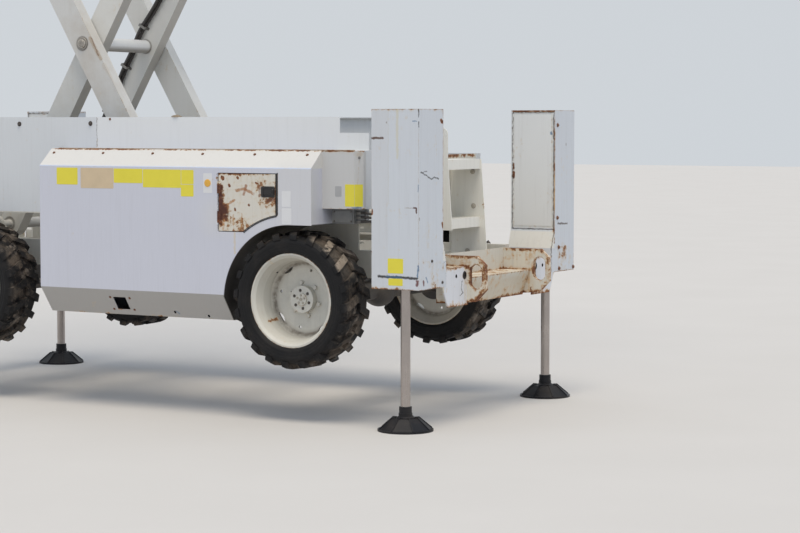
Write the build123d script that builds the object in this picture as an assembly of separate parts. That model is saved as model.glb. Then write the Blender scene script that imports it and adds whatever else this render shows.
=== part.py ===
from build123d import *
from math import atan2, cos, degrees, hypot, radians, sin
import os

# Rough-terrain scissor lift, four stages, standing on its four outriggers with its wheels lifted clear.
# Millimetres. +X is the ladder end, -Y the near side, +Z up, and the origin lies on the floor
# below the middle of the machine.

# Scissor stack
STAGES = 4
ARM_PITCH = 3166.0
ARM_DEPTH = 190.0
ARM_WIDTH = 100.0
ARM_WALL = 6.0
ALPHA = 59.3
ALPHA_STOWED = 3.7
ALPHA_RAISED = 64.5
PIVOT_X = -1613.0
PIVOT_Z = 1250.0
INNER_Y = 290.0
ARM_GAP = 10.0
PIN_R = 30.0
FIT = 0.05
OPEN_PIVOT_GAP = 1.0
HEAD_R = 32.5
HEAD_T = 14.0
END_TUBE_R = 40.0
MID_TUBE_R = 50.0
TUBE_WALL = 8.0
SOLID_END = 75.0
SLEEVE_R = 52.0

TUBE_STAGES = (1, 4)

# Lift cylinders, each between the inner arms of two neighbouring stages
CYL_STAGES = (1, 2)
CYL_FOOT = 0.92
CYL_HEAD = 0.55
CYL_OFFSET = 75.0
CYL_PIN_R = 35.0
CYL_SHAFT_R = 55.0
BARREL_R = 75.0
BORE_R = 60.0
BARREL_FOOT = 80.0
BARREL_CAP = 40.0
GLAND = 60.0
ROD_R = 45.0
EYE_R = 55.0
EYE_HALF = 50.0
FOOT_EYE_R = 60.0
FOOT_EYE_HALF = 65.0
EYE_PIN_R = 30.0
EYE_PIN_HALF = 56.0
EAR_Y = 62.0
EAR_T = 20.0
EAR_TUBE_R = 42.0
EAR_TUBE_ALONG = 80.0
EAR_TUBE_UP = 78.0
GUSSET_T = 15.0
ROD_OVERLAP = 150.0
EYE_GAP = 111.0

# Chassis
BEAM_IN = 520.0
BEAM_OUT = 590.0
BEAM_LOW = 960.0
BEAM_TOP = 1150.0
BEAM_WALL = 8.0
BEAM_END = 2200.0
LUG_R = 66.0
SHELF_Z = 1360.0
SHELF_T = 8.0
WALL_Y = 800.0
WALL_T = 8.0
WALL_TOP = 2065.0
WALL_STEP_TOP = 1957.0
WALL_STEP_X = 1620.0
WALL_END = 1850.0
WALL_LIP = 34.0
FAR_STEP_X = 1500.0
BULKHEAD_X = 1900.0
BULKHEAD_T = 12.0
BULKHEAD_Y = 620.0
BULKHEAD_TOP = 1800.0
HOSE_GAP_Y = 236.0
HOSE_GAP_Z = (1110.0, 1280.0)
TRACK_HALF = 45.0
TRACK_FLANGE = 12.0
TRACK_X = (-360.0, 1640.0)
SLIDE_CLEAR = 0.5
BLOCK_HALF = 70.0
BLOCK_Y = (524.0, 574.0)

# Ends with their tie-down plates
END_X = (2200.0, 2437.0)
END_LOW = 800.0
END_TOP = 1060.0
END_T = 10.0
TIE_Y = 484.0
TIE_T = 35.0
TIE_REACH = 2580.0
TIE_HOLE_IN = 76.0
TIE_HOLE_UP = 190.0
TIE_HOLE_W = 92.0
TIE_HOLE_H = 166.0
END_HOLES = ((535.0, 28.0), (653.0, 13.0))
END_HOLE_UP = 202.0
SHELF_FRONT_Z = 980.0
BACK_TOP = 1130.0

# Outriggers
POST_X = (2085.0, 2440.0)
POST_Y = (843.0, 1170.0)
POST_Z = (940.0, 2115.0)
POST_WALL = 6.0
POST_FLARE_Y = 800.0
POST_FLARE_Z = (1115.0, 1245.0)
PANEL_EDGE = 20.0
PANEL_GROOVE = 8.0
PANEL_GROOVE_DEEP = 4.0
LEG_X = 2270.0
LEG_Y = 1045.0
LEG_R = 32.5
LEG_TUBE_R = 55.0
LEG_TUBE_WALL = 10.0
LEG_GLAND = 60.0
LEG_UP = 700.0
PAD_R = 185.0
PAD_RIM = 14.0
PAD_TOP_R = 95.0
PAD_TOP = 85.0
PAD_SIDES = 8
PAD_RIB_T = 8.0
PAD_RIB_UP = 6.0
COLLAR_R = 42.5
COLLAR_Z = (118.0, 160.0)

# Wheels and axles
AXLE_X = 1420.0
AXLE_Z = 829.0
WHEEL_Y = 978.0
TYRE_R = 465.0
TYRE_HALF = 165.0
TREAD_R = 440.0
LUGS = 20
LUG_T = 50.0
LUG_LEAN = 24.0
RIM_R = 320.0
SEAT_R = 302.0
WELL_R = 284.0
WELL_HALF = 62.0
FLANGE_HALF = 140.0
DISH = -50.0
DISC_T = 16.0
DISC_R = 238.0
BOSS_R = 92.0
BOSS_UP = 50.0
BOSS_WALL = 15.0
CAP_R = 42.0
CAP_UP = 10.0
NUTS = 6
NUT_CIRCLE_R = 115.0
NUT_R = 15.0
NUT_UP = 18.0
VENTS = 4
VENT_R = 60.0
VENT_REACH = 278.0
EYELET_R = 10.0
EYELET_CIRCLE_R = 200.0
SPINDLE_R = 40.0
AXLE_R = 68.0
AXLE_HUB_R = 130.0
DIFF_R = 125.0
KINGPIN_Y = 750.0
KINGPIN_R = 30.0
YOKE_Z = 105.0
YOKE_T = 30.0
STEER_ARM = 165.0
STEER_TUBE_R = 38.0
STEER_ROD_R = 18.0
HUB_GAP = 1.0
SPINDLE_GAP = 1.0
YOKE_WEB = (645.0, 690.0)
TYRE_GAP = 0.3

# Side covers
COVER_X = (-700.0, 1600.0)
COVER_T = 4.0
COVER_TOP = 1840.0
COVER_TOP_Y = 1000.0
COVER_Y = 1140.0
COVER_BEND = 1720.0
COVER_LOW_BEND = 850.0
COVER_LOW = 665.0
COVER_LOW_Y = 1010.0
COVER_IN_Y = 600.0
ARCH_R = 530.0
ARCH_Z = 810.0
ARCH_FLAT = 1340.0
FAR_COVER_END = 1450.0
ACCESS_X = (-85.0, 25.0)
ACCESS_Z = (705.0, 795.0)
DRAINS = ((409.0, 703.0), (689.0, 687.0))
DRAIN_R = 10.0
HATCH_X = (850.0, 1320.0)
HATCH_Z = (1283.0, 1685.0)
HATCH_GAP = 5.0
HATCH_T = 5.0
HATCH_CURVE_R = 598.0
HINGE_R = 4.0
HINGE_CLEAR = 0.3
FENDER_X = (1600.0, 1900.0)
FENDER_LOW = 1450.0
FENDER_FOLD = (47.0, 40.0)
ENGINE_X = (-450.0, 650.0)
ENGINE_TOP = 1290.0
VALVE_X = (1660.0, 1830.0)
VALVE_REACH = 970.0

# Ladder
LADDER_Y = 250.0
LADDER_T = 8.0
LADDER_X = (BULKHEAD_X + BULKHEAD_T, 2150.0)
LADDER_FOOT_X = 2199.0
LADDER_Z = (1090.0, 1770.0)
TREAD_H = 70.0
TREADS = (1700.0, 1290.0)
LADDER_TALL = 220.0
LADDER_NEAR_FOOT = 1284.0

# Platform
DECK_UNDER = 135.0
DECK_H = 100.0
DECK_PLATE = 6.0
DECK_X = 1990.0
DECK_Y = 915.0
DECK_RIM = 8.0
DECK_MEMBER = 8.0
DECK_MEMBERS = (-1400.0, -800.0, -200.0, 400.0, 1000.0, 1600.0)
TOP_TRACK_HALF = 35.0
TOP_TRACK_Y = (190.0, 270.0)
TOP_BLOCK_Y = (206.0, 262.0)
TOP_WEB_T = 10.0
TOP_TRACK_X = (-350.0, 1640.0)
LUG_Y = (340.0, 390.0)
RAIL = 38.0
RAIL_H = 1100.0
MID_RAIL = 600.0
TOE_H = 150.0
TOE_T = 5.0
GATE_HALF = 320.0
GATE_HINGE_R = 10.0
GATE_HINGE_H = 90.0
GATE_HINGE_DOWN = 240.0
EXT_GAP = 8.0
EXT_T = 30.0
EXT_X = (-1985.0, -100.0)
EXT_Y = 840.0
EXT_RIM = 40.0
CONTROL_Y = (-420.0, -120.0)

def box(x, y, z):
    """A box between its low and high corners, each axis as a (low, high) pair."""
    size = (x[1] - x[0], y[1] - y[0], z[1] - z[0])
    return Pos((x[0] + x[1]) / 2, (y[0] + y[1]) / 2, (z[0] + z[1]) / 2) * Box(*size)


def rod_y(radius, y, x=0.0, z=0.0):
    """A round bar along Y between the two values of y."""
    return Pos(x, (y[0] + y[1]) / 2, z) * Rot(90, 0, 0) * Cylinder(radius, y[1] - y[0])


def rod_z(radius, z, x=0.0, y=0.0):
    """A round bar along Z between the two values of z."""
    return Pos(x, y, (z[0] + z[1]) / 2) * Cylinder(radius, z[1] - z[0])


def rod_x(radius, x, y=0.0, z=0.0):
    """A round bar along X between the two values of x."""
    return Pos((x[0] + x[1]) / 2, y, z) * Rot(0, 90, 0) * Cylinder(radius, x[1] - x[0])


def plate_xz(points, y):
    """An outline in X and Z, extruded between the two values of y."""
    face = Plane.XZ * Polygon(*points, align=None)
    return Pos(0, y[0], 0) * extrude(face, y[1] - y[0], dir=(0, 1, 0))


def plate_yz(points, x):
    """An outline in Y and Z, extruded between the two values of x."""
    face = Plane.YZ * Polygon(*points, align=None)
    return Pos(x[0], 0, 0) * extrude(face, x[1] - x[0], dir=(1, 0, 0))


def plate_xy(points, z):
    """An outline in X and Y, extruded between the two values of z."""
    face = Polygon(*points, align=None)
    return Pos(0, 0, z[0]) * extrude(face, z[1] - z[0], dir=(0, 0, 1))


def turned(points):
    """A solid of revolution about Z from (radius, height) points."""
    face = Plane.XZ * Polygon(*points, align=None)
    return revolve(face, Axis.Z, 360)


def both_sides(solid):
    """The solid and its mirror image in Y."""
    return solid + mirror(solid, about=Plane.XZ)


def far_side(solid):
    """The mirror image in Y."""
    return mirror(solid, about=Plane.XZ)


def steer_end(solid):
    """The mirror image in X."""
    return mirror(solid, about=Plane.YZ)


# Places worked out from the sizes above
STAGE_H = ARM_PITCH * sin(radians(ALPHA))
REACH = ARM_PITCH * cos(radians(ALPHA))
SLIDE_X = PIVOT_X + REACH
OUTER_Y = INNER_Y + ARM_WIDTH + ARM_GAP
INNER = (INNER_Y, INNER_Y + ARM_WIDTH)
OUTER = (OUTER_Y, OUTER_Y + ARM_WIDTH)
PIN_END = OUTER[1] + HEAD_T
TOP_Z = PIVOT_Z + STAGES * STAGE_H
DECK_Z = TOP_Z + DECK_UNDER
DECK_TOP = DECK_Z + DECK_H
LEG_TOP = POST_Z[1] - LEG_UP - 35.0


def left_pivot(stage):
    """Height of the left-hand pivots at the foot of a stage."""
    return PIVOT_Z + (stage - 1) * STAGE_H


def place_inner(solid, stage):
    """An arm drawn along +X from its foot, set on a stage as an inner arm."""
    return Pos(PIVOT_X, 0, left_pivot(stage)) * Rot(0, -ALPHA, 0) * solid


def place_outer(solid, stage):
    """An arm drawn along +X from its foot, set on a stage as an outer arm."""
    return Pos(SLIDE_X, 0, left_pivot(stage)) * Rot(0, ALPHA - 180, 0) * solid


def arm(y, foot_bore, mid_bore, head_bore):
    """A hollow arm along +X with solid rounded ends and a sleeve at its middle."""
    middle = ARM_PITCH / 2
    outline = Pos(middle, 0) * SlotCenterToCenter(ARM_PITCH, ARM_DEPTH)
    bar = Pos(0, y[0], 0) * extrude(Plane.XZ * outline, y[1] - y[0], dir=(0, 1, 0))
    half = ARM_DEPTH / 2 - ARM_WALL
    hollow = box((SOLID_END, ARM_PITCH - SOLID_END), (y[0] + ARM_WALL, y[1] - ARM_WALL), (-half, half))
    hollow -= rod_y(SLEEVE_R, y, x=middle)
    bar -= hollow
    for place, bore in ((0.0, foot_bore), (middle, mid_bore), (ARM_PITCH, head_bore)):
        if bore:
            bar -= rod_y(bore, y, x=place)
    return bar


def tube_y(radius, wall, y, x=0.0, z=0.0):
    """A round tube along Y."""
    return rod_y(radius, y, x, z) - rod_y(radius - wall, y, x, z)


def cylinder_foot():
    """The stepped shaft and gussets on an inner pair that carry a lift cylinder's foot."""
    along = CYL_FOOT * ARM_PITCH
    low = -CYL_OFFSET
    shaft = rod_y(CYL_PIN_R, (-INNER_Y, INNER_Y), along, low)
    outer = rod_y(CYL_SHAFT_R, (FOOT_EYE_HALF + HEAD_T, INNER_Y), along, low)
    gusset = plate_xz(
        [(along - 165, -60), (along - 60, low - 72), (along + 60, low - 72), (along + 165, -60)],
        (INNER_Y - GUSSET_T, INNER_Y),
    )
    return shaft + both_sides(outer + gusset)


def cylinder_head():
    """The tube, gussets and ears on an inner pair that take a lift cylinder's rod."""
    along = CYL_HEAD * ARM_PITCH
    tube_x = along + EAR_TUBE_ALONG
    tube_z = CYL_OFFSET + EAR_TUBE_UP
    tube = tube_y(EAR_TUBE_R, TUBE_WALL, (-INNER_Y, INNER_Y), tube_x, tube_z)
    gusset = plate_xz(
        [(tube_x - 130, 60), (tube_x - 46, tube_z + 38), (tube_x + 46, tube_z + 38), (tube_x + 130, 60)],
        (INNER_Y - GUSSET_T, INNER_Y),
    )
    length = hypot(EAR_TUBE_ALONG, EAR_TUBE_UP)
    lean = degrees(atan2(EAR_TUBE_UP, EAR_TUBE_ALONG))
    outline = Pos(length / 2, 0) * SlotCenterToCenter(length, 2 * EYE_R)
    ear = Pos(0, EAR_Y, 0) * extrude(Plane.XZ * outline, EAR_T, dir=(0, 1, 0))
    ear = Pos(along, 0, CYL_OFFSET) * Rot(0, -lean, 0) * ear
    ear -= rod_y(EAR_TUBE_R - 2, (EAR_Y, EAR_Y + EAR_T), tube_x, tube_z)
    return tube + both_sides(gusset + ear)


def inner_arms(stage):
    """The inner pair of a stage with its cross tubes; the lowest has the pins in the chassis lugs."""
    top = stage == STAGES
    bore = PIN_R + FIT
    head_bore = bore if top else PIN_R + OPEN_PIVOT_GAP
    pair = both_sides(arm(INNER, None if stage == 1 else bore, bore, head_bore))
    pair += tube_y(END_TUBE_R, TUBE_WALL, (-INNER_Y, INNER_Y))
    if stage == 1:
        pair += both_sides(rod_y(PIN_R, (INNER_Y + 20, BEAM_OUT + HEAD_T)))
    if stage in TUBE_STAGES:
        pair += tube_y(MID_TUBE_R, TUBE_WALL, (-INNER_Y, INNER_Y), ARM_PITCH / 2)
    if not top:
        pair += tube_y(END_TUBE_R, TUBE_WALL, (-INNER_Y, INNER_Y), ARM_PITCH)
    if stage in CYL_STAGES:
        pair += cylinder_foot()
    if stage - 1 in CYL_STAGES:
        pair += cylinder_head()
    return pair


def outer_arms(stage):
    """The outer pair of a stage, tied by the shafts at its ends, with the pins at its middle."""
    pair = both_sides(arm(OUTER, PIN_R + FIT if stage == 1 else None, None, None))
    middle = ARM_PITCH / 2
    stub_from = 0.0 if stage in TUBE_STAGES else INNER_Y - 6
    pins = rod_y(PIN_R, (stub_from, PIN_END), middle) + rod_y(HEAD_R, (OUTER[1] - 2, PIN_END), middle)
    pair += both_sides(pins)
    for x in (ARM_PITCH,) if stage == 1 else (0.0, ARM_PITCH):
        pair += rod_y(PIN_R, (-PIN_END, PIN_END), x)
    return pair


def cylinder_vector(alpha):
    """From a lift cylinder's foot pin to its head pin, at an arm angle in degrees."""
    a = radians(alpha)
    share = (CYL_FOOT - CYL_HEAD) * ARM_PITCH
    rise = ARM_PITCH - share
    x = -share * cos(a) - 2 * CYL_OFFSET * sin(a)
    z = rise * sin(a) + 2 * CYL_OFFSET * cos(a)
    return x, z


def cylinder_length(alpha):
    """Pin to pin length of a lift cylinder."""
    return hypot(*cylinder_vector(alpha))


BARREL_END = cylinder_length(ALPHA_STOWED) - EYE_R - EYE_GAP
ROD_LENGTH = cylinder_length(ALPHA_RAISED) - (BARREL_END - ROD_OVERLAP)


def barrel():
    """A lift cylinder's barrel along +X from its foot eye."""
    body = rod_x(BARREL_R, (BARREL_FOOT, BARREL_END))
    body -= rod_x(BORE_R, (BARREL_FOOT + BARREL_CAP, BARREL_END - GLAND))
    body -= rod_x(ROD_R + FIT, (BARREL_END - GLAND - 1, BARREL_END + 1))
    neck = box((0, BARREL_FOOT + 5), (-FOOT_EYE_HALF, FOOT_EYE_HALF), (-FOOT_EYE_R, FOOT_EYE_R))
    eye = rod_y(FOOT_EYE_R, (-FOOT_EYE_HALF, FOOT_EYE_HALF)) + neck
    body += eye
    return body - rod_y(CYL_PIN_R + FIT, (-FOOT_EYE_HALF, FOOT_EYE_HALF))


def rod():
    """A lift cylinder's rod along +X, its eye at the far end, as it lies at rest."""
    length = cylinder_length(ALPHA)
    back = length - ROD_LENGTH
    bar = rod_x(ROD_R, (back, length - 10))
    bar += rod_x(BORE_R - 0.3, (back, back + 50))
    bar += rod_y(EYE_R, (-EYE_HALF, EYE_HALF), length)
    return bar + rod_y(EYE_PIN_R, (-EYE_PIN_HALF, EYE_PIN_HALF), length)


def place_cylinder(solid, stage):
    """A cylinder drawn along +X from its foot pin, set between a stage and the next."""
    foot = place_inner(Pos(CYL_FOOT * ARM_PITCH, 0, -CYL_OFFSET) * Box(1, 1, 1), stage).center()
    x, z = cylinder_vector(ALPHA)
    return Pos(foot.X, 0, foot.Z) * Rot(0, -degrees(atan2(z, x)), 0) * solid


def lower_slider():
    """The shaft at the outer arms' feet with the two blocks that run in the chassis."""
    half = TRACK_HALF - SLIDE_CLEAR
    x = (SLIDE_X - BLOCK_HALF, SLIDE_X + BLOCK_HALF)
    block = box(x, BLOCK_Y, (PIVOT_Z - half, PIVOT_Z + half))
    shaft = rod_y(PIN_R, (-BLOCK_Y[1] + 5, BLOCK_Y[1] - 5), SLIDE_X, PIVOT_Z)
    return shaft + both_sides(block)


def upper_slider():
    """The two blocks that run below the deck, each with its pin in a top inner arm's head."""
    half = TOP_TRACK_HALF - SLIDE_CLEAR
    x = (SLIDE_X - BLOCK_HALF, SLIDE_X + BLOCK_HALF)
    block = box(x, TOP_BLOCK_Y, (TOP_Z - half, TOP_Z + half))
    return both_sides(block + rod_y(PIN_R, (TOP_BLOCK_Y[0], INNER[1] + 6), SLIDE_X, TOP_Z))


def chassis_frame():
    """The two main beams, the slide tracks, pivot lugs, cross beams and bulkheads."""
    beam = box((-BEAM_END, BEAM_END), (BEAM_IN, BEAM_OUT), (BEAM_LOW, BEAM_TOP))
    inside = (BEAM_IN + BEAM_WALL, BEAM_OUT - BEAM_WALL)
    beam -= box((-BEAM_END + 20, BEAM_END - 20), inside, (BEAM_LOW + BEAM_WALL, BEAM_TOP - BEAM_WALL))
    web = box(TRACK_X, (BEAM_OUT - TRACK_FLANGE, BEAM_OUT), (BEAM_TOP - 1, SHELF_Z + 1))
    side = beam + web
    for z in (PIVOT_Z - TRACK_HALF - TRACK_FLANGE, PIVOT_Z + TRACK_HALF):
        side += box(TRACK_X, (BEAM_IN, BEAM_OUT), (z, z + TRACK_FLANGE))
    foot_z = BEAM_TOP - 2
    outline = [(PIVOT_X - 150, foot_z), (PIVOT_X - LUG_R, PIVOT_Z)]
    outline += [(PIVOT_X + LUG_R, PIVOT_Z), (PIVOT_X + 150, foot_z)]
    lug = plate_xz(outline, (BEAM_IN, BEAM_OUT))
    lug += rod_y(LUG_R, (BEAM_IN, BEAM_OUT), PIVOT_X, PIVOT_Z)
    side += lug - rod_y(PIN_R + FIT, (BEAM_IN, BEAM_OUT), PIVOT_X, PIVOT_Z)
    shelf_y = (BEAM_OUT - TRACK_FLANGE, WALL_Y + WALL_T)
    shelf_z = (SHELF_Z, SHELF_Z + SHELF_T)
    side += box((-WALL_END, WALL_END), shelf_y, shelf_z)
    side += box((-BULKHEAD_X - 1, BULKHEAD_X + 1), (shelf_y[0], BULKHEAD_Y), shelf_z)
    x = COVER_X[0] - 30
    side += box((x, x + SHELF_T), (BEAM_OUT - 1, WALL_Y), (BEAM_TOP - 120, SHELF_Z + 1))
    frame = both_sides(side)
    for x in (-BULKHEAD_X - BULKHEAD_T, BULKHEAD_X):
        thick = (x, x + BULKHEAD_T)
        sheet = box(thick, (-BULKHEAD_Y, BULKHEAD_Y), (SHELF_Z, BULKHEAD_TOP))
        sheet += box(thick, (-BEAM_OUT, BEAM_OUT), (BEAM_LOW, SHELF_Z + 1))
        frame += sheet - box(thick, (-HOSE_GAP_Y, HOSE_GAP_Y), HOSE_GAP_Z)
    for x in (-AXLE_X, -500.0, 500.0, AXLE_X):
        frame += box((x - 60, x + 60), (-BEAM_IN - 1, BEAM_IN + 1), (BEAM_LOW, BEAM_LOW + 90))
    return frame


def side_wall(step_x, step_top):
    """One side of the well above the shelf, stepped down towards both ends, with its top lip."""
    z0 = SHELF_Z + SHELF_T
    outline = [
        (-WALL_END, z0), (WALL_END, z0), (WALL_END, step_top), (step_x, step_top),
        (step_x, WALL_TOP), (-step_x, WALL_TOP), (-step_x, step_top), (-WALL_END, step_top),
    ]
    wall = plate_xz(outline, (WALL_Y, WALL_Y + WALL_T))
    return wall + box((-step_x, step_x), (WALL_Y - WALL_LIP, WALL_Y + 1), (WALL_TOP - WALL_T, WALL_TOP))


def cover_section(inset):
    """The side cover's outline in |y| and z, drawn in by a sheet's thickness."""
    i = inset
    return [
        (WALL_Y + WALL_T + i, COVER_TOP - i), (COVER_TOP_Y - 0.4 * i, COVER_TOP - i),
        (COVER_Y - i, COVER_BEND - 0.4 * i), (COVER_Y - i, COVER_LOW_BEND + 0.3 * i),
        (COVER_LOW_Y - 0.5 * i, COVER_LOW + i), (COVER_IN_Y + i, COVER_LOW + i),
        (COVER_IN_Y + i, SHELF_Z - i), (WALL_Y + WALL_T + i, SHELF_Z - i),
    ]


def arch_cut(grow):
    """What the wheel takes out of a side cover."""
    y = (COVER_IN_Y - 10, COVER_Y + 10)
    cut = rod_y(ARCH_R + grow, y, AXLE_X, ARCH_Z)
    left = AXLE_X - ARCH_R - grow
    cut += box((left, COVER_X[1] + 10), y, (COVER_LOW - 10, ARCH_Z))
    return cut + box((AXLE_X, COVER_X[1] + 10), y, (COVER_LOW - 10, ARCH_FLAT + grow))


def hatch_outline(gap):
    """The hatch's outline in X and Z, with its lower corner cut by the arch's curve."""
    x0, x1 = HATCH_X[0] + gap, HATCH_X[1] - gap
    z0, z1 = HATCH_Z[0] + gap, HATCH_Z[1] - gap
    return box((x0, x1), (COVER_Y - 60, COVER_Y + 10), (z0, z1)) - rod_y(
        HATCH_CURVE_R + gap, (COVER_Y - 70, COVER_Y + 20), AXLE_X, ARCH_Z
    )


def side_cover(x_end):
    """A closed sheet-metal pod with the wheel arch cut from its corner."""
    skin = plate_yz(cover_section(0.0), (COVER_X[0], x_end)) - arch_cut(0.0)
    t = COVER_T
    inside = plate_yz(cover_section(t), (COVER_X[0] + t, x_end - t)) - arch_cut(t)
    return skin - inside


def cover_holes():
    """The square access hole and the drains in a side cover's lower slope."""
    y = (COVER_LOW_Y, COVER_Y - COVER_T)
    holes = box(ACCESS_X, y, ACCESS_Z)
    for x, z in DRAINS:
        holes += rod_y(DRAIN_R, y, x, z)
    return holes


def fender_panel():
    """The panel and ledge between a side cover and the ladder end."""
    t = COVER_T
    x0, x1 = FENDER_X
    y0, y1 = WALL_Y + WALL_T - 1, COVER_TOP_Y
    fold_x, fold_y = x1 - FENDER_FOLD[0], y1 - FENDER_FOLD[1]
    outer = [(x0, y0), (x0, y1), (fold_x, y1), (x1, fold_y), (x1, y0)]
    in_x, in_y = x1 - t, y0 - 1
    inner = [(x0 - 1, in_y), (x0 - 1, y1 - t), (fold_x - t / 2, y1 - t), (in_x, fold_y - t / 2), (in_x, in_y)]
    return plate_xy(outer, (FENDER_LOW, COVER_TOP)) - plate_xy(inner, (FENDER_LOW - 1, COVER_TOP - t))


def end_frame():
    """The cross beam at the ladder end with its side brackets and its two tie-down plates."""
    x0, x1 = END_X
    t = END_T
    shelf = SHELF_FRONT_Z
    back = x0 + 15
    outline = [(x0, END_LOW), (x1 - 75, END_LOW), (x1 - 5, shelf), (back, shelf)]
    middle = plate_xz(outline + [(back, BACK_TOP), (x0, BACK_TOP)], (-TIE_Y, TIE_Y))
    inner_top = shelf - t
    outline = [(x0 + t, END_LOW + t), (x1 - 82, END_LOW + t), (x1 - 20, inner_top), (x0 + t, inner_top)]
    middle -= plate_xz(outline, (-TIE_Y + 2, TIE_Y - 2))
    low, y_in, y_out = POST_Z[0], POST_FLARE_Y, POST_Y[0]
    upper = [(y_in, low), (y_in, END_TOP), (TIE_Y, END_TOP)]
    front = plate_yz([(TIE_Y, END_LOW), (y_out - 75, END_LOW), (y_out, low)] + upper, (x1 - t, x1))
    for y, hole_r in END_HOLES:
        front -= rod_x(hole_r, (x1 - t, x1), y, END_LOW + END_HOLE_UP)
    back_plate = plate_yz([(TIE_Y, low)] + upper, (x0, x0 + t))
    shelf_plate = box((x0, x1), (TIE_Y, y_in), (END_TOP - t, END_TOP))
    reach = TIE_REACH
    outline = [(x0, END_LOW), (reach - 80, END_LOW + 22), (reach, END_LOW + 105)]
    outline += [(reach - 5, BACK_TOP - 60), (reach - 70, BACK_TOP), (x0, BACK_TOP)]
    tie = plate_xz(outline, (TIE_Y - TIE_T / 2, TIE_Y + TIE_T / 2))
    hole = SlotOverall(TIE_HOLE_H, TIE_HOLE_W, rotation=90)
    hole = extrude(Plane.XZ * hole, TIE_T, both=True)
    tie -= Pos(reach - TIE_HOLE_IN, TIE_Y, END_LOW + TIE_HOLE_UP) * hole
    return middle + both_sides(front + back_plate + shelf_plate + tie)


def post_section(inset):
    """An outrigger housing's outline in |y| and z."""
    y_in, y_out, y_flare = POST_Y[0] + inset, POST_Y[1] - inset, POST_FLARE_Y + inset
    z_low, z_top = POST_Z[0] + inset, POST_Z[1] - inset
    flare_low, flare_top = POST_FLARE_Z
    return [
        (y_out, z_low), (y_out, z_top), (y_in, z_top),
        (y_in, flare_top), (y_flare, flare_low), (y_flare, z_low),
    ]


def outrigger_post():
    """A tall sheet-metal housing with the leg's cylinder tube standing in it."""
    t = POST_WALL
    shell = plate_yz(post_section(0.0), POST_X)
    shell -= plate_yz(post_section(t), (POST_X[0] + t, POST_X[1] - t))
    z0, z1 = POST_Z
    tube = rod_z(LEG_TUBE_R, (z0 + 1, z1 - 1), LEG_X, LEG_Y)
    tube -= rod_z(LEG_TUBE_R - LEG_TUBE_WALL, (z0 + LEG_GLAND, z1 - 20), LEG_X, LEG_Y)
    shell += tube
    e, groove = PANEL_EDGE, PANEL_GROOVE
    deep = (POST_Y[0], POST_Y[0] + PANEL_GROOVE_DEEP)
    panel_x = (POST_X[0] + e, POST_X[1] - e)
    panel_z = (POST_FLARE_Z[1] + e, z1 - e)
    seam = box(panel_x, deep, panel_z)
    seam -= box((panel_x[0] + groove, panel_x[1] - groove), deep, (panel_z[0] + groove, panel_z[1] - groove))
    return shell - seam - rod_z(LEG_R + FIT, (z0 - 5, z0 + LEG_GLAND + 5), LEG_X, LEG_Y)


def leg_rod():
    """The chromed rod of an outrigger."""
    return rod_z(LEG_R, (COLLAR_Z[1], LEG_TOP), LEG_X, LEG_Y)


def leg_pad():
    """The ribbed foot of an outrigger with the collar that holds it."""
    dish = rod_z(PAD_R, (0, PAD_RIM)) + loft([
        Pos(0, 0, PAD_RIM - 1) * RegularPolygon(PAD_R - 2, PAD_SIDES),
        Pos(0, 0, PAD_TOP) * RegularPolygon(PAD_TOP_R, PAD_SIDES),
    ])
    foot, head = PAD_R - 4, PAD_TOP_R - 30
    top = PAD_TOP + PAD_RIB_UP
    root = PAD_RIM - 1
    outline = [(foot, root), (foot, PAD_RIM + PAD_RIB_UP), (PAD_TOP_R, top), (head, top), (head, root)]
    rib = plate_xz(outline, (-PAD_RIB_T / 2, PAD_RIB_T / 2))
    for i in range(PAD_SIDES):
        dish += Rot(0, 0, 360 / PAD_SIDES * i) * rib
    low, high = COLLAR_Z
    boss = [(0, PAD_TOP - 1), (62, PAD_TOP - 1), (62, PAD_TOP + 3), (46, PAD_TOP + 13), (46, low)]
    boss += [(COLLAR_R, low), (COLLAR_R, high), (0, high)]
    return Pos(LEG_X, LEG_Y, 0) * (dish + turned(boss))


def rim():
    """A deep-dish wheel about Z, its outer side up, with its boss, wheel nuts, vents and eyelets."""
    f = FLANGE_HALF
    face = DISH
    back = face - DISC_T
    top = face + BOSS_UP
    bore = SPINDLE_R + FIT
    inside = [(DISC_R, face), (245, face + 6), (262, face + 30), (270, face + 110), (290, f - 18), (308, f)]
    inner_side = [(308, -f), (290, -f + 18), (266, back - 30), (250, back)]
    seat = [(RIM_R, f), (RIM_R, f - 12), (SEAT_R, f - 22), (SEAT_R, WELL_HALF + 18), (WELL_R, WELL_HALF)]
    profile = [(bore, back), (bore, top - BOSS_WALL), (0, top - BOSS_WALL), (0, top + CAP_UP)]
    profile += [(CAP_R, top + CAP_UP), (CAP_R, top), (BOSS_R, top), (BOSS_R, face)] + inside + seat
    profile += [(r, -h) for r, h in reversed(seat)] + inner_side
    wheel = turned(profile)
    through = (back - 1, face + 7)
    vent = rod_z(VENT_R, through, VENT_REACH) & rod_z(DISC_R + 4, through)
    for i in range(VENTS):
        turn = 360 / VENTS * i
        wheel -= Rot(0, 0, turn + 35) * vent
        wheel -= Rot(0, 0, turn - 13) * rod_z(EYELET_R, through, EYELET_CIRCLE_R)
    nut = Pos(NUT_CIRCLE_R, 0, face - 1) * extrude(RegularPolygon(NUT_R, 6), NUT_UP + 1)
    for i in range(NUTS):
        wheel += Rot(0, 0, 360 / NUTS * i - 16) * nut
    return wheel


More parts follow.
